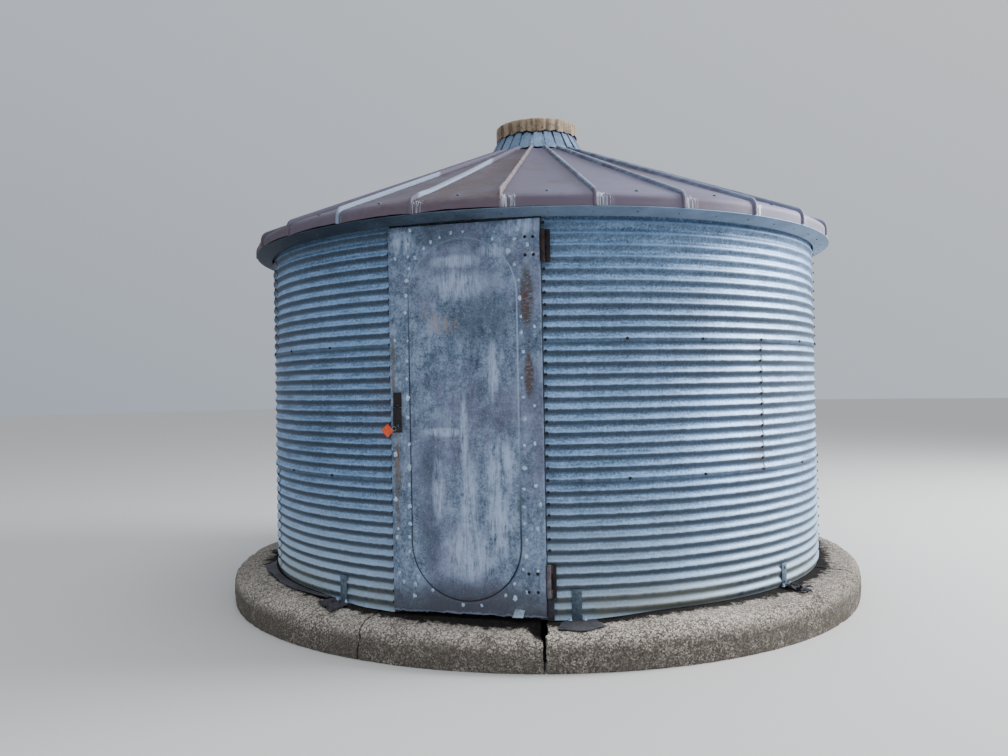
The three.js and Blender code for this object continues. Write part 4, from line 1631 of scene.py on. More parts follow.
@dataclass
class Collar:
    """The zinc collar round the fill hole: one bent finger on each panel, and an upright neck."""

    neck: Points = (
        (0.3015, 3.560), (0.3035, 3.580), (0.3035, 3.670), (0.2995, 3.670), (0.2995, 3.560),
    )
    finger: Points = (
        (0.4085, 3.4235), (0.3720, 3.4750), (0.3440, 3.5230), (0.3230, 3.5620), (0.3120, 3.5800),
        (0.3060, 3.6000),
    )
    underlay: Points = (
        (0.3930, 3.4260), (0.3180, 3.5560), (0.3020, 3.5700), (0.3020, 3.5560), (0.3140, 3.5450),
        (0.3860, 3.4270),
    )
    sheet: float = 0.0012
    gap: float = 1.1

    def fingers(self) -> Shape:
        """Builds all the fingers."""
        made: list[Shape] = []
        dice = Random(91)
        for index in range(ROOF_PANELS):
            middle = index * PANEL + dice.uniform(-0.5, 0.5)
            half = FACET - self.gap + dice.uniform(-1.1, 0.3)
            one = turned(self.finger, middle - half, middle + half, 4)
            reach = dice.uniform(-0.022, 0.008)
            lift = dice.uniform(0.0, 0.006)

            def shear(radius: float, azimuth: float, height: float) -> Place:
                """Bends a finger's tip out of line."""
                low = 1.0 - smooth(height, 3.42, 3.50)
                across = (azimuth - middle) / half
                corner = low * 0.012 * abs(across) ** 4
                wide = 1.0 - 0.10 * low
                return (
                    radius + low * (reach - corner * 0.6) + lift * (1.0 - low),
                    middle + (azimuth - middle) * wide,
                    height - low * reach * 0.42 + corner,
                )

            (shade,) = layers(one, "shade")
            # The shade number: a random dimming of each finger, with painted shade along its edges
            # and painted shadow at its top under the cap.
            dim = dice.uniform(0.0, 0.45)
            for vert in one.verts:
                _, azimuth, height = polar(vert.co, middle)
                side = smooth(abs(azimuth - middle) / half, 0.5, 1.0)
                vert[shade] = dim + 0.15 * side + 0.55 * smooth(height, 3.545, 3.59)
            bend(one, shear, middle)
            face_out(one)
            thicken(one, self.sheet)
            made.append(one)
        return joined(made)

    def whole(self, profile: Points) -> Shape:
        """Builds a whole ring with a closed outline.

        Args:
            profile: Points of radius and height.

        Returns:
            The ring.
        """
        shape = turned(profile, 0.0, 360.0, RING_STEPS, closed=True)
        align(shape)
        return shape

    def build(self) -> None:
        """Builds the collar."""
        fingers = self.fingers()
        publish(fingers, "roof_collar_fingers", Body.BIN, COLLAR_ZINC, ("roof_collar",), 50.0)
        publish(self.whole(self.neck), "roof_collar_neck", Body.BIN, DARK_STRIP)
        publish(self.whole(self.underlay), "roof_collar_underlay", Body.BIN, COLLAR_ZINC)


@dataclass
class Cap:
    """The painted cap: a slightly domed top with a pleated skirt and an uneven lower edge."""

    radius: float = 0.3350
    skirt: float = 3.5860
    shoulder: float = 3.6720
    top: float = 3.6810
    sheet: float = 0.0030

    def build(self) -> None:
        """Builds the cap."""
        profile = [
            (self.radius, self.skirt),
            (self.radius, (self.skirt * 2.0 + self.shoulder) / 3.0),
            (self.radius, (self.skirt + self.shoulder * 2.0) / 3.0),
            (self.radius, self.shoulder - 0.006),
            (self.radius - 0.0025, self.shoulder),
            (self.radius - 0.010, self.top - 0.003),
            (self.radius - 0.030, self.top - 0.0015),
            (0.150, self.top),
            (0.0, self.top),
        ]
        shape = turned(profile, 0.0, 360.0, 2 * RING_STEPS)
        (fold_layer,) = layers(shape, "fold")

        def fold_at(azimuth: float) -> float:
            """Gives how far the skirt stands out between two folds."""
            return abs(math.sin(math.radians(azimuth * ROOF_PANELS / 2.0 + 20.0)))

        def pleat(radius: float, azimuth: float, height: float) -> Place:
            """Folds the skirt and makes its lower edge uneven."""
            rim = smooth(radius, 0.29, 0.33)
            fold = fold_at(azimuth)
            broad = noise(around(2.2, azimuth, 0.0))
            low = 1.0 - smooth(height, self.skirt, self.skirt + 0.05)
            inward = rim * (0.008 * (1.0 - fold) ** 2 + 0.002 * (broad + 1.0))
            ragged = noise(around(9.0, azimuth, 5.0)) * 0.012 + broad * 0.010
            lean = 0.009 * (1.0 - math.cos(math.radians(azimuth + 77.0))) - 0.012
            return radius - inward, azimuth, height + low * rim * (ragged + lean - 0.012 * fold)

        bend(shape, pleat)
        for vert in shape.verts:
            radius, azimuth, height = polar(vert.co)
            # The fold number marks the pleats' inner folds for painted shade.
            crease = (1.0 - fold_at(azimuth)) ** 3 * smooth(radius, 0.30, 0.32)
            vert[fold_layer] = crease * (1.0 - 0.6 * smooth(height, self.skirt, self.shoulder))
        face_out(shape)
        thicken(shape, self.sheet)
        publish(shape, "fill_cap_shell", Body.BIN, CAP_PAINT, ("fill_cap",), 50.0)


@dataclass
class Doorway:
    """The folded posts at the door's sides, with the header and the sill between them."""

    height: float = 2.326
    sheet: float = 0.0025
    outline: Points = (
        (0.4105, -2.0400), (0.4110, -2.0635), (0.4740, -2.0635), (0.4850, -2.0600),
        (0.5000, -2.0560), (0.5600, -2.0400),
    )

    def post(self, side: float) -> Shape:
        """Builds one post, folded from sheet.

        Args:
            side: 1 for the right post and -1 for the left.

        Returns:
            The thickened post.
        """
        shape = bmesh.new()
        base = FOOTING_TOP - 0.027
        line = [shape.verts.new((side * x, y, base)) for x, y in self.outline]
        edges = [shape.edges.new(pair) for pair in zip(line, line[1:])]
        top, _ = extrude(shape, edges)
        bmesh.ops.translate(shape, verts=top, vec=(0.0, 0.0, self.height))
        align(shape)
        look(shape, (0.0, -1.0, 0.0))
        thicken(shape, self.sheet)
        return shape

    def build(self) -> None:
        """Builds both posts and dresses the header and the sill."""
        for name, side in (("left", -1.0), ("right", 1.0)):
            node = f"door_jamb_{name}"
            publish(self.post(side), f"{node}_fold", Body.BIN, FRAME_STRIP, (node,))
        dress_node("door_header", DARK_STRIP)
        dress_node("door_sill", DARK_STRIP)


@dataclass
class Door:
    """The pressed door: an outer skin with a raised oval, spot welds, bolts and a flat liner."""

    half: float = 0.4698
    front: float = -2.1000
    back: float = -2.0710
    bottom: float = FOOTING_TOP - 0.020
    top: float = FOOTING_TOP + 2.2955
    sheet: float = 0.0015
    oval_middle: float = -0.009
    oval_half: float = 0.337
    oval_bottom: float = FOOTING_TOP + 0.065
    oval_top: float = FOOTING_TOP + 2.205
    proud: float = 0.0028
    lip: float = FOOTING_TOP + 0.013
    arc: int = 36
    straight: int = 40
    groove_rings: tuple[int, int] = (12, 13)
    welds: Points = (
        (-0.325, 2.272), (-0.340, 2.190), (-0.342, 2.114), (-0.296, 2.107), (-0.334, 2.044),
        (-0.352, 1.971), (-0.240, 2.159), (-0.197, 2.194), (-0.139, 2.217), (-0.068, 2.240),
        (0.008, 2.243), (0.188, 2.190), (0.320, 2.182), (0.336, 2.238), (0.397, 2.145),
        (0.425, 2.094), (0.278, 2.114), (0.318, 2.031), (0.339, 1.941), (0.345, 1.835),
        (0.350, 1.729), (0.350, 1.635), (0.430, 1.669), (0.360, 1.525), (0.349, 1.375),
        (0.355, 1.261), (0.421, 1.212), (0.361, 1.136), (-0.366, 1.778), (-0.435, 1.615),
        (-0.353, 1.609), (-0.358, 1.488), (-0.362, 1.381), (-0.358, 1.267), (-0.425, 2.106),
        (-0.363, 1.149), (-0.354, 0.989), (-0.357, 0.851), (-0.359, 0.746), (-0.359, 0.619),
        (-0.357, 0.512), (-0.362, 0.434), (-0.364, 0.347), (-0.433, 0.482), (-0.442, 0.430),
        (-0.444, 0.929), (-0.447, 0.657), (-0.431, 0.216), (-0.405, 0.166), (-0.311, 0.193),
        (-0.332, 0.149), (-0.338, 0.082), (-0.221, 0.121), (-0.034, 0.042), (0.082, 0.045),
        (0.229, 0.112), (0.283, 0.180), (0.337, 0.267), (0.355, 0.342), (0.358, 0.435),
        (0.348, 0.626), (0.349, 0.730), (0.354, 0.852), (0.356, 0.984), (0.419, 0.993),
        (0.420, 0.751), (0.444, 0.641), (0.424, 0.502), (0.425, 0.259), (0.357, 0.135),
        (0.283, 0.098), (-0.357, 1.880), (0.352, 0.530),
    )
    weld_size: tuple[float, float] = (0.0070, 0.0135)
    weld_stretch: tuple[float, float] = (0.95, 1.5)
    hinge_bolts: Points = (
        (0.381, 2.189), (0.429, 2.186), (0.382, 2.083), (0.431, 2.084),
        (0.368, 0.241), (0.421, 0.243), (0.368, 0.136), (0.422, 0.137),
    )
    bolt: Bolt = Bolt(0.0075, 0.0035, 0.0100, 0.0014)

    def spokes(self) -> list[tuple[Vector, Vector]]:
        """Gives pairs of points, on the oval and on the door's edge, in order round the door.

        Returns:
            The pairs of points.
        """
        pairs = []
        low, high = self.oval_bottom + self.oval_half, self.oval_top - self.oval_half
        for here, there, side in ((high, low, 1.0), (low, high, -1.0)):
            stops = []
            for i in range(self.arc):
                angle = math.pi * i / self.arc
                stops.append((here, side * math.cos(angle), side * math.sin(angle)))
            for i in range(self.straight):
                stops.append((here + (there - here) * i / self.straight, -side, 0.0))
            for up, across, rise in stops:
                hub, way = Vector((self.oval_middle, 0.0, up)), Vector((across, 0.0, rise))
                pairs.append((hub + way * self.oval_half, self.to_edge(hub, way)))
        for level in (self.bottom, self.top):
            for side in (-self.half, self.half):
                corner = Vector((side, 0.0, level))
                nearest = min(range(len(pairs)), key=lambda i: (pairs[i][1] - corner).length)
                pairs[nearest] = (pairs[nearest][0], corner)
        return pairs

    def to_edge(self, hub: Vector, way: Vector) -> Vector:
        """Gives the point where a ray from inside the door meets its edge.

        Args:
            hub: Where the ray starts.
            way: Its direction.

        Returns:
            The point.
        """
        reaches = []
        if abs(way.x) > 1e-9:
            reaches.append((math.copysign(self.half, way.x) - hub.x) / way.x)
        if abs(way.z) > 1e-9:
            reaches.append(((self.top if way.z > 0 else self.bottom) - hub.z) / way.z)
        return hub + way * min(reach for reach in reaches if reach > 0.0)

    def skin(self) -> Shape:
        """Builds the outer skin: rings from the folded edge in to the oval's middle line."""
        pairs = self.spokes()
        rings: list[list[Vector]] = []

        def ring(share: float, out: float, inset: float = 0.0, shift: float = 0.0) -> None:
            """Adds a ring at a share of the way from the oval to the edge."""
            points = []
            for oval, edge in pairs:
                way = (edge - oval).normalized()
                point = oval.lerp(edge - way * inset, share) + way * shift
                points.append(Vector((point.x, self.front + out, point.z)))
            rings.append(points)

        for out in (0.0280, 0.0180, 0.0060):
            ring(1.0, out)
        ring(1.0, 0.0022, 0.0008)
        ring(1.0, 0.0004, 0.0030)
        for share in (0.97, 0.80, 0.60, 0.40, 0.22):
            ring(share, 0.0)
        ring(0.0, 0.0, 0.0, 0.0100)
        ring(0.0, 0.0026, 0.0, 0.0055)
        ring(0.0, 0.0028, 0.0, 0.0010)
        ring(0.0, -self.proud * 0.5, 0.0, -0.0035)
        ring(0.0, -self.proud, 0.0, -0.0080)
        low, high = self.oval_bottom + self.oval_half, self.oval_top - self.oval_half
        for keep in (0.90, 0.76, 0.60, 0.44, 0.28, 0.12):
            points = []
            for oval, _ in pairs:
                spine = Vector((self.oval_middle, 0.0, min(max(oval.z, low), high)))
                point = spine.lerp(oval, keep)
                points.append(Vector((point.x, self.front - self.proud, point.z)))
            rings.append(points)
        shape = bmesh.new()
        spoke = shape.verts.layers.int.new("spoke")
        (groove,) = layers(shape, "groove")
        edges = ring_of(shape, rings[0])
        for number, vert in enumerate(shape.verts):
            vert[spoke] = number
        for place, points in enumerate(rings[1:], 1):
            fresh, edges = extrude(shape, edges)
            for vert in fresh:
                vert.co = points[vert[spoke]]
                vert[groove] = 1.0 if place in self.groove_rings else 0.0
        bmesh.ops.holes_fill(shape, edges=edges, sides=0)
        bmesh.ops.remove_doubles(shape, verts=shape.verts[:], dist=2e-4)
        bmesh.ops.triangulate(shape, faces=[face for face in shape.faces if len(face.verts) > 4])
        for vert in shape.verts:
            self.batter(vert)
        align(shape)
        look(shape, (0.0, -1.0, 0.0))
        thicken(shape, self.sheet)
        return shape

    def batter(self, vert: bmesh.types.BMVert) -> None:
        """Gives a point of the skin its dents, and the lower edge its torn line.

        Args:
            vert: The point.
        """
        spot = Vector((vert.co.x, 0.0, vert.co.z))
        inside = smooth(self.half - abs(vert.co.x), 0.0, 0.08)
        wave = noise(spot * 2.6) * 0.0028 + noise(spot * 9.0) * 0.0008
        vert.co.y += (abs(wave) + 0.0002) * inside if wave > 0 else -wave * 0.6 * inside
        low = 1.0 - smooth(vert.co.z, self.bottom, self.bottom + 0.05)
        tear = noise(Vector((vert.co.x * 7.0, 3.3, 0.0))) * 0.5 + 0.5
        tear += noise(Vector((vert.co.x * 31.0, 7.7, 0.0))) * 0.35
        vert.co.z += low * max(tear, 0.0) * 0.016

    def spots(self) -> Shape:
        """Builds the pale spot welds, each with its own ragged outline."""
        shape = bmesh.new()
        dice = Random(12)
        for across, height in self.welds:
            at = Matrix.Translation((across, self.front, FOOTING_TOP + height)) @ spun(90.0, "X")
            size = dice.uniform(*self.weld_size)
            before = set(shape.verts)
            bmesh.ops.create_cone(
                shape,
                cap_ends=True,
                segments=12,
                radius1=size,
                radius2=size * 0.8,
                depth=0.0012,
            )
            fresh = gained(shape, before)
            tall = dice.uniform(*self.weld_stretch)
            seed = dice.uniform(0.0, 90.0)
            for vert in fresh:
                spot = Vector((vert.co.x * 120.0, vert.co.y * 120.0, seed))
                ragged = 1.0 + 0.55 * noise(spot)
                vert.co = Vector((vert.co.x * ragged, vert.co.y * ragged * tall, vert.co.z))
            bmesh.ops.transform(shape, matrix=at, verts=fresh)
        return shape

    def torn_lip(self) -> Shape:
        """Builds the torn tongue of skin that is bent out at the door's foot."""
        shape = bmesh.new()
        bmesh.ops.create_grid(shape, x_segments=6, y_segments=6, size=0.5)
        for vert in shape.verts:
            across, up = vert.co.x, vert.co.y
            crumple = noise(Vector((across * 3.0, up * 3.0, 5.0))) * 0.004
            out = 0.004 + 0.020 * (0.5 - up) ** 2 + crumple
            edge = noise(Vector((across * 5.0, up * 5.0, 1.0))) * 0.006
            right = 0.308 + across * 0.062 + up * 0.012 + edge
            vert.co = Vector((right, self.front - out, self.lip + up * 0.044 + edge))
        align(shape)
        thicken(shape, 0.0012)
        return shape

    def bolts(self) -> Shape:
        """Builds the hinge straps' bolts."""
        shape = bmesh.new()
        for across, height in self.hinge_bolts:
            at = frontal(across, self.front - 0.0004, FOOTING_TOP + height)
            self.bolt.add(shape, at, across * 9.0)
        return shape

    def liner(self) -> Shape:
        """Builds the flat inner liner with two pressed fields."""
        shape = bmesh.new()
        rim = 0.0045
        low = Vector((rim - self.half, -2.0735, self.bottom + rim + 0.012))
        high = Vector((self.half - rim, -2.0704, self.top - rim))
        block(shape, low, high, 0.0006)
        back = [face for face in shape.faces if face.normal.y > 0.9 and face.calc_area() > 0.5]
        middle = (low.z + high.z) / 2.0
        sides = [edge for face in back for edge in face.edges]
        cut = bmesh.ops.bisect_plane(
            shape, geom=back + sides, plane_co=(0.0, 0.0, middle), plane_no=(0.0, 0.0, 1.0)
        )["geom"]
        fields = [item for item in cut if isinstance(item, bmesh.types.BMFace)]
        bmesh.ops.inset_individual(shape, faces=fields, thickness=0.09, use_even_offset=True)
        bmesh.ops.inset_individual(shape, faces=fields, thickness=0.006, depth=-0.0018)
        return shape

    def build(self) -> None:
        """Builds the door."""
        publish(self.skin(), "door_skin_pressed", Body.DOOR, DOOR_ZINC, ("door_panel",), 40.0)
        publish(self.liner(), "door_liner_sheet", Body.DOOR, FRAME_STRIP, ("door_liner",))
        publish(self.spots(), "door_spot_welds", Body.DOOR, WELD_ZINC, crease=60.0)
        publish(self.torn_lip(), "door_torn_lip", Body.DOOR, LIP_ZINC)
        publish(self.bolts(), "door_hinge_bolts", Body.DOOR, BLACK_IRON)


@dataclass
class Hinge:
    """A butt hinge: knuckles on a pin, a leaf on the post, and a strap behind the door's skin."""

    level: str
    middle: float
    finish: Finish
    x: float = 0.488
    y: float = -2.105
    barrel: float = 0.0124
    length: float = 0.190
    knuckle: float = 0.093
    play: float = 0.0012
    front: float = -2.0912
    seat: float = -2.0866

    def upright(self, height: float) -> Matrix:
        """Gives the placement of a rod on the hinge's axis."""
        return Matrix.Translation((self.x, self.y, height))

    def frame_leaf(self) -> Shape:
        """Builds the leaf on the post with its two knuckles and the pin."""
        shape = bmesh.new()
        low, high = self.middle - self.length / 2.0, self.middle + self.length / 2.0
        gap = self.knuckle / 2.0 + self.play
        for start, end in ((low, self.middle - gap), (self.middle + gap, high)):
            rod(shape, self.barrel, end - start, self.upright((start + end) / 2.0), 20, 0.0012)
            corner = (self.x + 0.004, self.front, start + 0.001)
            block(shape, corner, (0.508, self.seat, end - 0.001), 0.0008)
        rod(shape, 0.0048, self.length + 0.006, self.upright(self.middle), 14, 0.0012)
        return shape

    def frame_plate(self) -> Shape:
        """Builds the leaf's plate on the post, with its bolts."""
        shape = bmesh.new()
        low, high = self.middle - self.length / 2.0, self.middle + self.length / 2.0
        block(shape, (0.4996, self.front, low), (0.5266, self.seat + 0.0002, high), 0.0012)
        block(shape, (0.5010, -2.0870, low + 0.006), (0.5250, -2.0690, high - 0.006), 0.001)
        bolt = Bolt(0.0070, 0.0040, 0.0090, 0.0012)
        for share in (0.16, 0.5, 0.84):
            bolt.add(shape, frontal(0.5150, -2.0910, low + share * self.length), share * 5.0)
        return shape

    def door_leaf(self) -> Shape:
        """Builds the middle knuckle and the strap that runs in behind the skin."""
        shape = bmesh.new()
        rod(shape, self.barrel, self.knuckle, self.upright(self.middle), 20, 0.0012)
        for left, front, right, back, half in (
            (0.376, -2.0950, self.x - 0.001, self.front, self.knuckle / 2.0),
            (0.375, -2.0952, 0.4635, -2.0910, 0.064),
        ):
            low, high = (left, front, self.middle - half), (right, back, self.middle + half)
            block(shape, low, high, 0.0008)
        return shape

    def foot_strip(self) -> Shape:
        """Builds the strip that runs from the lower hinge down to the footing, with its bolts."""
        shape = bmesh.new()
        top = self.middle - self.length / 2.0 - 0.002
        block(shape, (0.4765, -2.0905, FOOTING_TOP - 0.026), (0.5130, -2.0875, top), 0.0008)
        bolt = Bolt(0.0085, 0.0045, 0.0105, 0.0014)
        for up in (0.002, 0.070):
            bolt.add(shape, frontal(0.4905, -2.0903, FOOTING_TOP + up), up * 30.0)
        return shape

    def build(self) -> None:
        """Builds both leaves."""
        for name, shape, body in (
            ("frame_leaf", self.frame_leaf(), Body.BIN),
            ("door_leaf", self.door_leaf(), Body.DOOR),
        ):
            node = f"hinge_{self.level}_{name}"
            publish(shape, f"{node}_forged", body, self.finish, (node,))
        # The plate's black iron also stands for the shade beside the hinge: painted shade.
        publish(self.frame_plate(), f"hinge_{self.level}_frame_plate", Body.BIN, BLACK_IRON)
        if self.level == "lower":
            publish(self.foot_strip(), "hinge_foot_strip", Body.BIN, FOOT_STRIP)


@dataclass
class Hasp:
    """The hasp: a plate with a hinged strap over a staple, a seal wire and an orange tag."""

    x: float = -0.424
    y: float = -2.109
    z: float = FOOTING_TOP + 1.218
    front: float = -2.1052
    half: float = 0.026
    knuckle: float = 0.0105
    barrel: float = 0.0050
    strap_bottom: float = FOOTING_TOP + 1.060
    staple: float = FOOTING_TOP + 1.100

    def sideways(self, across: float) -> Matrix:
        """Gives the placement of a rod on the strap's hinge."""
        return Matrix.Translation((across, self.y, self.z)) @ spun(90.0, "Y")

    def plate(self) -> Shape:
        """Builds the plate on the door with its two knuckles and the pin."""
        shape = bmesh.new()
        low = (self.x - self.half, self.front, FOOTING_TOP + 1.227)
        high = (self.x + self.half, -2.1004, FOOTING_TOP + 1.301)
        block(shape, low, high, 0.0012)
        gap = self.knuckle + 0.0012
        for start, end in ((self.x - self.half, self.x - gap), (self.x + gap, self.x + self.half)):
            rod(shape, self.barrel, end - start, self.sideways((start + end) / 2.0), 16, 0.0006)
            block(shape, (start, self.front, self.z), (end, -2.1010, FOOTING_TOP + 1.229), 0.0004)
        rod(shape, 0.0022, 2.0 * self.half + 0.003, self.sideways(self.x), 10)
        bolt = Bolt(0.0060, 0.0030, 0.0078, 0.0012)
        for across, up in ((-0.014, 1.284), (0.014, 1.282), (0.0, 1.246)):
            bolt.add(shape, frontal(self.x + across, -2.1050, FOOTING_TOP + up), across * 50.0)
        return shape

    def strap(self) -> Shape:
        """Builds the strap, cut through by the slot that drops over the staple."""
        shape = bmesh.new()
        front, back = self.y - 0.0024, self.y + 0.0024
        slot_half, slot_low, slot_high = 0.0112, self.staple - 0.0252, self.staple + 0.0252
        left, right = self.x - self.half, self.x + self.half
        top = FOOTING_TOP + 1.210
        rod(shape, self.barrel, 2.0 * self.knuckle, self.sideways(self.x), 16, 0.0006)
        for start, end, low, high, edge in (
            (self.x - self.knuckle, self.x + self.knuckle, top - 0.001, self.z, 0.0),
            (left, right, slot_high, top, 0.0010),
            (left, right, self.strap_bottom, slot_low, 0.0010),
            (left, self.x - slot_half, slot_low - 0.002, slot_high + 0.002, 0.0008),
            (self.x + slot_half, right, slot_low - 0.002, slot_high + 0.002, 0.0008),
        ):
            block(shape, (start, front, low), (end, back, high), edge)
        return shape

    def loop(self) -> Shape:
        """Builds the staple from a bent rod."""
        shape = bmesh.new()
        radius = 0.0042
        reach = 0.0140
        for sign in (-1.0, 1.0):
            at = Matrix.Translation((self.x, -2.0910, self.staple + sign * reach))
            rod(shape, radius, 0.058, at @ spun(90.0, "X"), 12)
        at = Matrix.Translation((self.x, -2.1226, self.staple))
        rod(shape, radius, 2.0 * reach + 2.0 * radius, at, 12, 0.0012)
        return shape

    def tag(self) -> Shape:
        """Builds the square tag, a little cupped, hanging by one corner."""
        shape = bmesh.new()
        bmesh.ops.create_grid(shape, x_segments=10, y_segments=10, size=0.0292)
        bmesh.ops.transform(shape, matrix=spun(45.0, "Z"), verts=shape.verts[:])
        for vert in shape.verts:
            cup = noise(vert.co * 30.0) * 0.0007
            vert.co = Vector((vert.co.x, cup, vert.co.y))
        bmesh.ops.translate(shape, verts=shape.verts[:], vec=(-0.4885, self.y, FOOTING_TOP + 1.072))
        align(shape)
        thicken(shape, 0.0012)
        return shape

    def wire(self) -> Shape:
        """Builds the thin wire loop that ties the tag to the strap."""
        shape = bmesh.new()
        middle = Vector((-0.444, self.y - 0.0052, FOOTING_TOP + 1.083))
        bmesh.ops.create_circle(shape, segments=8, radius=0.0011)
        side = middle + Vector((0.013, 0.0, 0.0))
        bmesh.ops.translate(shape, vec=side, verts=shape.verts[:])
        spin(shape, 360.0, 24, True, middle, (0.0, 1.0, 0.0))
        bmesh.ops.remove_doubles(shape, verts=shape.verts[:], dist=1e-6)
        align(shape)
        return shape

    def build(self) -> None:
        """Builds the hasp."""
        publish(self.plate(), "hasp_plate_forged", Body.DOOR, OLD_IRON, ("hasp_plate",))
        publish(self.strap(), "hasp_strap_forged", Body.HASP, BLACK_IRON, ("hasp_strap",))
        publish(self.loop(), "hasp_staple_bent", Body.BIN, OLD_IRON, ("hasp_staple",))
        publish(self.tag(), "seal_tag_square", Body.HASP, TAG_PLASTIC, ("seal_tag",))
        publish(self.wire(), "seal_wire_loop", Body.HASP, BRIGHT_WIRE)


@dataclass
class Tiedowns:
    """The straps that hold the wall down, each with a foot plate bolted to the footing."""

    facets: tuple[float, ...] = (-3.5, 2.5, 8.5, 14.5, 20.5, 27.5, 34.5, 41.5)
    wall: float = 2.1303
    width: float = 0.060
    height: float = 0.150
    sheet: float = 0.0046
    plate: float = 0.0026
    flange_root: float = 2.142
    flange_span: tuple[float, float] = (-64.0, -27.0)
    plates: tuple[tuple[float, ...], ...] = (
        (-0.060, 0.070, 0.114, 0.203, -0.095, 0.135, 0.0, 0.016),
        (-0.070, 0.110, 0.127, 0.145, -0.135, 0.117, 0.085, 0.002),
        (-0.035, 0.035, 0.015, 0.147, -0.098, 0.220, 0.0, 0.016),
        (-0.038, 0.038, 0.045, 0.100, -0.040, 0.110, 0.0, 0.012),
    )

    def strap(self, number: int, facet: float) -> Shape:
        """Builds one tie-down's strap, at the front before it is turned into place.

        Args:
            number: Which tie-down it is.
            facet: Its azimuth, in half panels.

        Returns:
            The strap with its bolts.
        """
        shape = bmesh.new()
        dice = Random(300 + number)
        half = self.width / 2.0
        block(
            shape,
            (-half, -self.wall - self.sheet, FOOTING_TOP + 0.0005),
            (half, -self.wall - 0.0004, FOOTING_TOP + self.height),
            0.0010,
        )
        bolt = Bolt(0.0082, 0.0055, 0.0115, 0.0020)
        for up in (0.034, 0.122):
            at = frontal(dice.uniform(-0.004, 0.004), -self.wall - self.sheet, FOOTING_TOP + up)
            bolt.add(shape, at, up * 20.0)
        bmesh.ops.transform(shape, matrix=spun(facet * FACET, "Z"), verts=shape.verts[:])
        for vert in shape.verts:
            if vert.co.z < FOOTING_TOP + 0.02:
                vert.co.z -= sunk(facet * FACET)
        return shape

    def studs(self) -> Shape:
        """Builds the two studs that hold each foot plate."""
        shape = bmesh.new()
        stud = Bolt(head=0.0075, rise=0.013, washer=0.0120, washer_rise=0.003)
        for facet in self.facets:
            azimuth = facet * FACET
            base = FOOTING_TOP + 0.0085 - sunk(azimuth)
            for away in (-1.15, 1.15):
                at = around(self.wall + 0.020, azimuth + away, base)
                stud.add(shape, facing(at, Vector((0.0, 0.0, 1.0))), away)
        return shape

    def foot(self, number: int, facet: float) -> Shape:
        """Builds the crumpled plate that lies on the footing in front of a strap.

        Args:
            number: Which tie-down it is.
            facet: Its azimuth, in half panels.

        Returns:
            The thickened plate.
        """
        shape = bmesh.new()
        bmesh.ops.create_grid(shape, x_segments=16, y_segments=12, size=0.5)
        corners = self.plates[min(number, len(self.plates)) - 1]
        left, right, far_right, reach_right, far_left, reach_left, bulge, lift = corners
        turn = spun(facet * FACET, "Z")
        for vert in shape.verts:
            share, out = vert.co.x + 0.5, vert.co.y + 0.5
            spot = Vector((share * 2.2, out * 1.8, number * 4.1))
            ragged = (noise(spot * 2.0) * 0.020 + noise(spot * 6.0) * 0.012) * out
            near = left + (right - left) * share
            far = far_left + (far_right - far_left) * share
            reach = reach_left + (reach_right - reach_left) * share
            reach += bulge * (1.0 - (2.0 * share - 0.8) ** 2 / 1.44)
            crumple = abs(noise(spot)) * 2.0 + abs(noise(spot * 3.0))
            rise = crumple * lift * smooth(out, 0.0, 0.3)
            across = near + (far - near) * out + ragged
            place = turn @ Vector((across, -self.wall - out * reach - ragged, 0.0))
            _, azimuth, _ = polar(place)
            place.z = FOOTING_TOP + 0.0040 + rise - sunk(azimuth)
            vert.co = place
        look(shape, (0.0, 0.0, 1.0))
        thicken(shape, self.plate)
        return shape

    def flange(self) -> Shape:
        """Builds the bent floor flange that has come loose at the wall's left foot."""
        root, (left, right) = self.flange_root, self.flange_span
        profile = [(root, FOOTING_TOP + 0.004)]
        profile += [(radius, FOOTING_TOP + 0.003) for radius in (2.175, 2.212)]
        shape = turned(profile, left, right, 44)

        def buckle(radius: float, azimuth: float, height: float) -> Place:
            """Buckles the free edge and narrows the ends."""
            spot = around(radius, azimuth, 0.0)
            free = smooth(radius, 2.15, 2.21)
            narrower = 1.0 - 0.35 * smooth(azimuth, right - 9.0, right)
            ends = smooth(azimuth, left, left + 6.0) * narrower
            edge = noise(spot * 8.0) * 0.014 * free
            lift = abs(noise(spot * 4.0)) * 0.018 * free
            return root + (radius - root + edge) * ends, azimuth, height + lift

        bend(shape, buckle, -45.0)
        face_out(shape)
        thicken(shape, 0.0022)
        return shape

    def build(self) -> None:
        """Builds every tie-down and the loose flange."""
        for number, facet in enumerate(self.facets, 1):
            node = f"anchor_{number}"
            publish(self.strap(number, facet), f"{node}_strap", Body.BIN, DARK_STRIP, (node,))
            publish(self.foot(number, facet), f"{node}_foot", Body.BIN, FOOT_STRIP)
        publish(self.studs(), "anchor_studs", Body.BIN, WELD_ZINC)
        publish(self.flange(), "floor_flange_loose", Body.BIN, FOOT_STRIP)


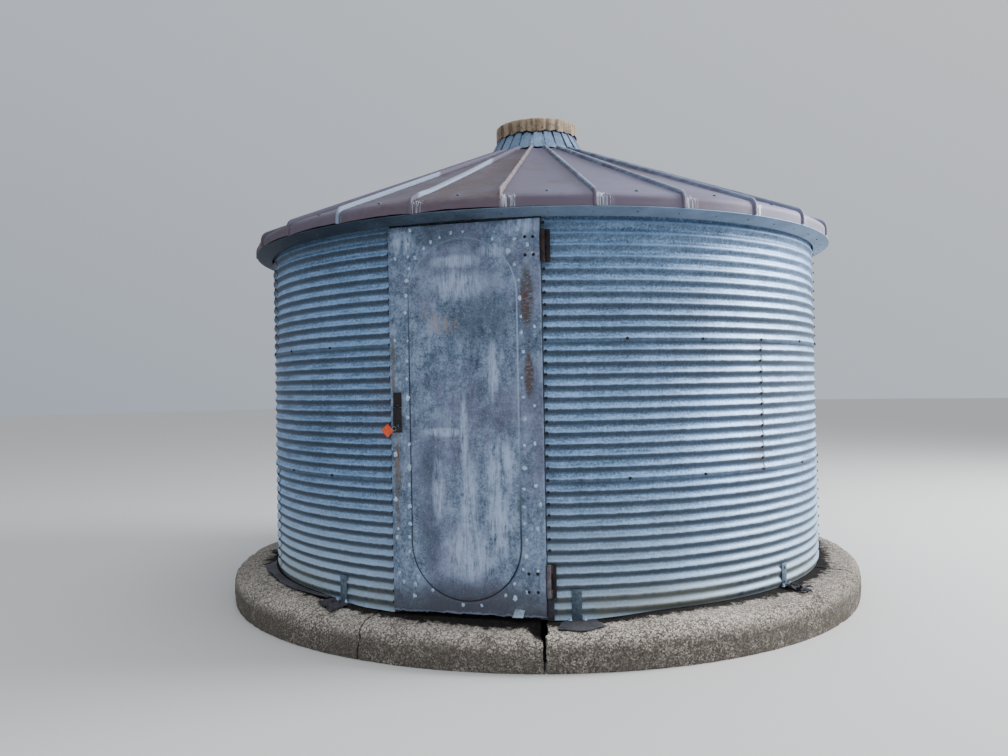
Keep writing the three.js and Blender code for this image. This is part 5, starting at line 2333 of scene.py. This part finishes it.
@dataclass
class Studio:
    """The camera at the photograph's place, soft light and a pale floor."""

    place: Place = (1.508, -6.831, 1.569)
    heading: float = 14.98
    pitch: float = 90.418
    roll: float = -1.085
    lens: float = 30.07
    sensor: float = 36.0
    aim: Place = (0.0, 0.0, 1.6)
    lights: tuple[tuple[str, Place, float, float], ...] = (
        ("key_softbox", (10.5, 3.2, 7.0), 6.0, 2900.0),
        ("top_softbox", (1.0, -2.0, 11.0), 8.0, 500.0),
    )
    dome: Place = (0.30, 0.0, 0.50)
    horizon: Colour = tint(0.42, 0.48, 0.57)
    overhead: Colour = tint(0.94, 0.97, 1.0)
    glow: float = 0.90
    floor_radius: float = 60.0

    def camera(self) -> None:
        """Sets up the camera."""
        data = bpy.data.cameras.new("camera")
        data.lens = self.lens
        data.sensor_width = self.sensor
        data.sensor_fit = "HORIZONTAL"
        data.clip_end = 200.0
        camera = show("camera", data)
        turn = spun(self.heading, "Z") @ spun(self.pitch, "X") @ spun(self.roll, "Z")
        camera.matrix_world = Matrix.Translation(self.place) @ turn
        bpy.context.scene.camera = camera

    def softbox(self, name: str, at: Sequence[float], size: float, power: float) -> None:
        """Adds an area light that looks at the bin.

        Args:
            name: The light's name.
            at: Its place.
            size: Its diameter.
            power: Its power in watts.
        """
        data = bpy.data.lights.new(name, "AREA")
        data.shape = "DISK"
        data.size = size
        data.energy = power
        turn = (Vector(self.aim) - Vector(at)).to_track_quat("-Z", "Y").to_matrix().to_4x4()
        show(name, data).matrix_world = Matrix.Translation(at) @ turn

    def sky(self) -> None:
        """Sets up a pale dome that is brighter overhead than at its foot."""
        world = bpy.data.worlds.new("soft_sky")
        world.use_nodes = True
        bench = Bench(world.node_tree, "ShaderNodeBackground", "ShaderNodeOutputWorld")
        way = bench.node("ShaderNodeTexCoord", output="Generated")
        values = {0: way, 1: self.dome}
        rise = bench.node("ShaderNodeVectorMath", {"operation": "DOT_PRODUCT"}, values, "Value")
        colour = bench.ramp(rise + 0.30, (0.0, self.horizon), (0.8, self.overhead))
        bench.feed(Color=colour, Strength=self.glow)
        bpy.context.scene.world = world

    def floor(self) -> None:
        """Lays the pale floor."""
        shape = bmesh.new()
        bmesh.ops.create_circle(shape, cap_ends=True, segments=96, radius=self.floor_radius)
        bmesh.ops.translate(shape, verts=shape.verts[:], vec=(0.0, 0.0, -0.0005))
        mesh = settle(shape, "studio_floor")
        mesh.materials.append(PALE_FLOOR.material())
        floor = show("studio_floor", mesh)

    def build(self) -> None:
        """Sets up everything that isn't the bin."""
        self.camera()
        self.sky()
        self.floor()
        for light in self.lights:
            self.softbox(*light)


def main() -> None:
    """Builds the whole bin; each piece's face count is logged as it is made."""
    logging.basicConfig(level=logging.INFO, format="%(message)s")
    Studio().build()
    Footing().build()
    Wall().build()
    Eave().build()
    Roof().build()
    Collar().build()
    Cap().build()
    Doorway().build()
    Door().build()
    Hinge("lower", LOWER_HINGE, PALE_IRON).build()
    Hinge("upper", UPPER_HINGE, OLD_IRON).build()
    Hasp().build()
    Tiedowns().build()


if __name__ == "__main__":
    main()
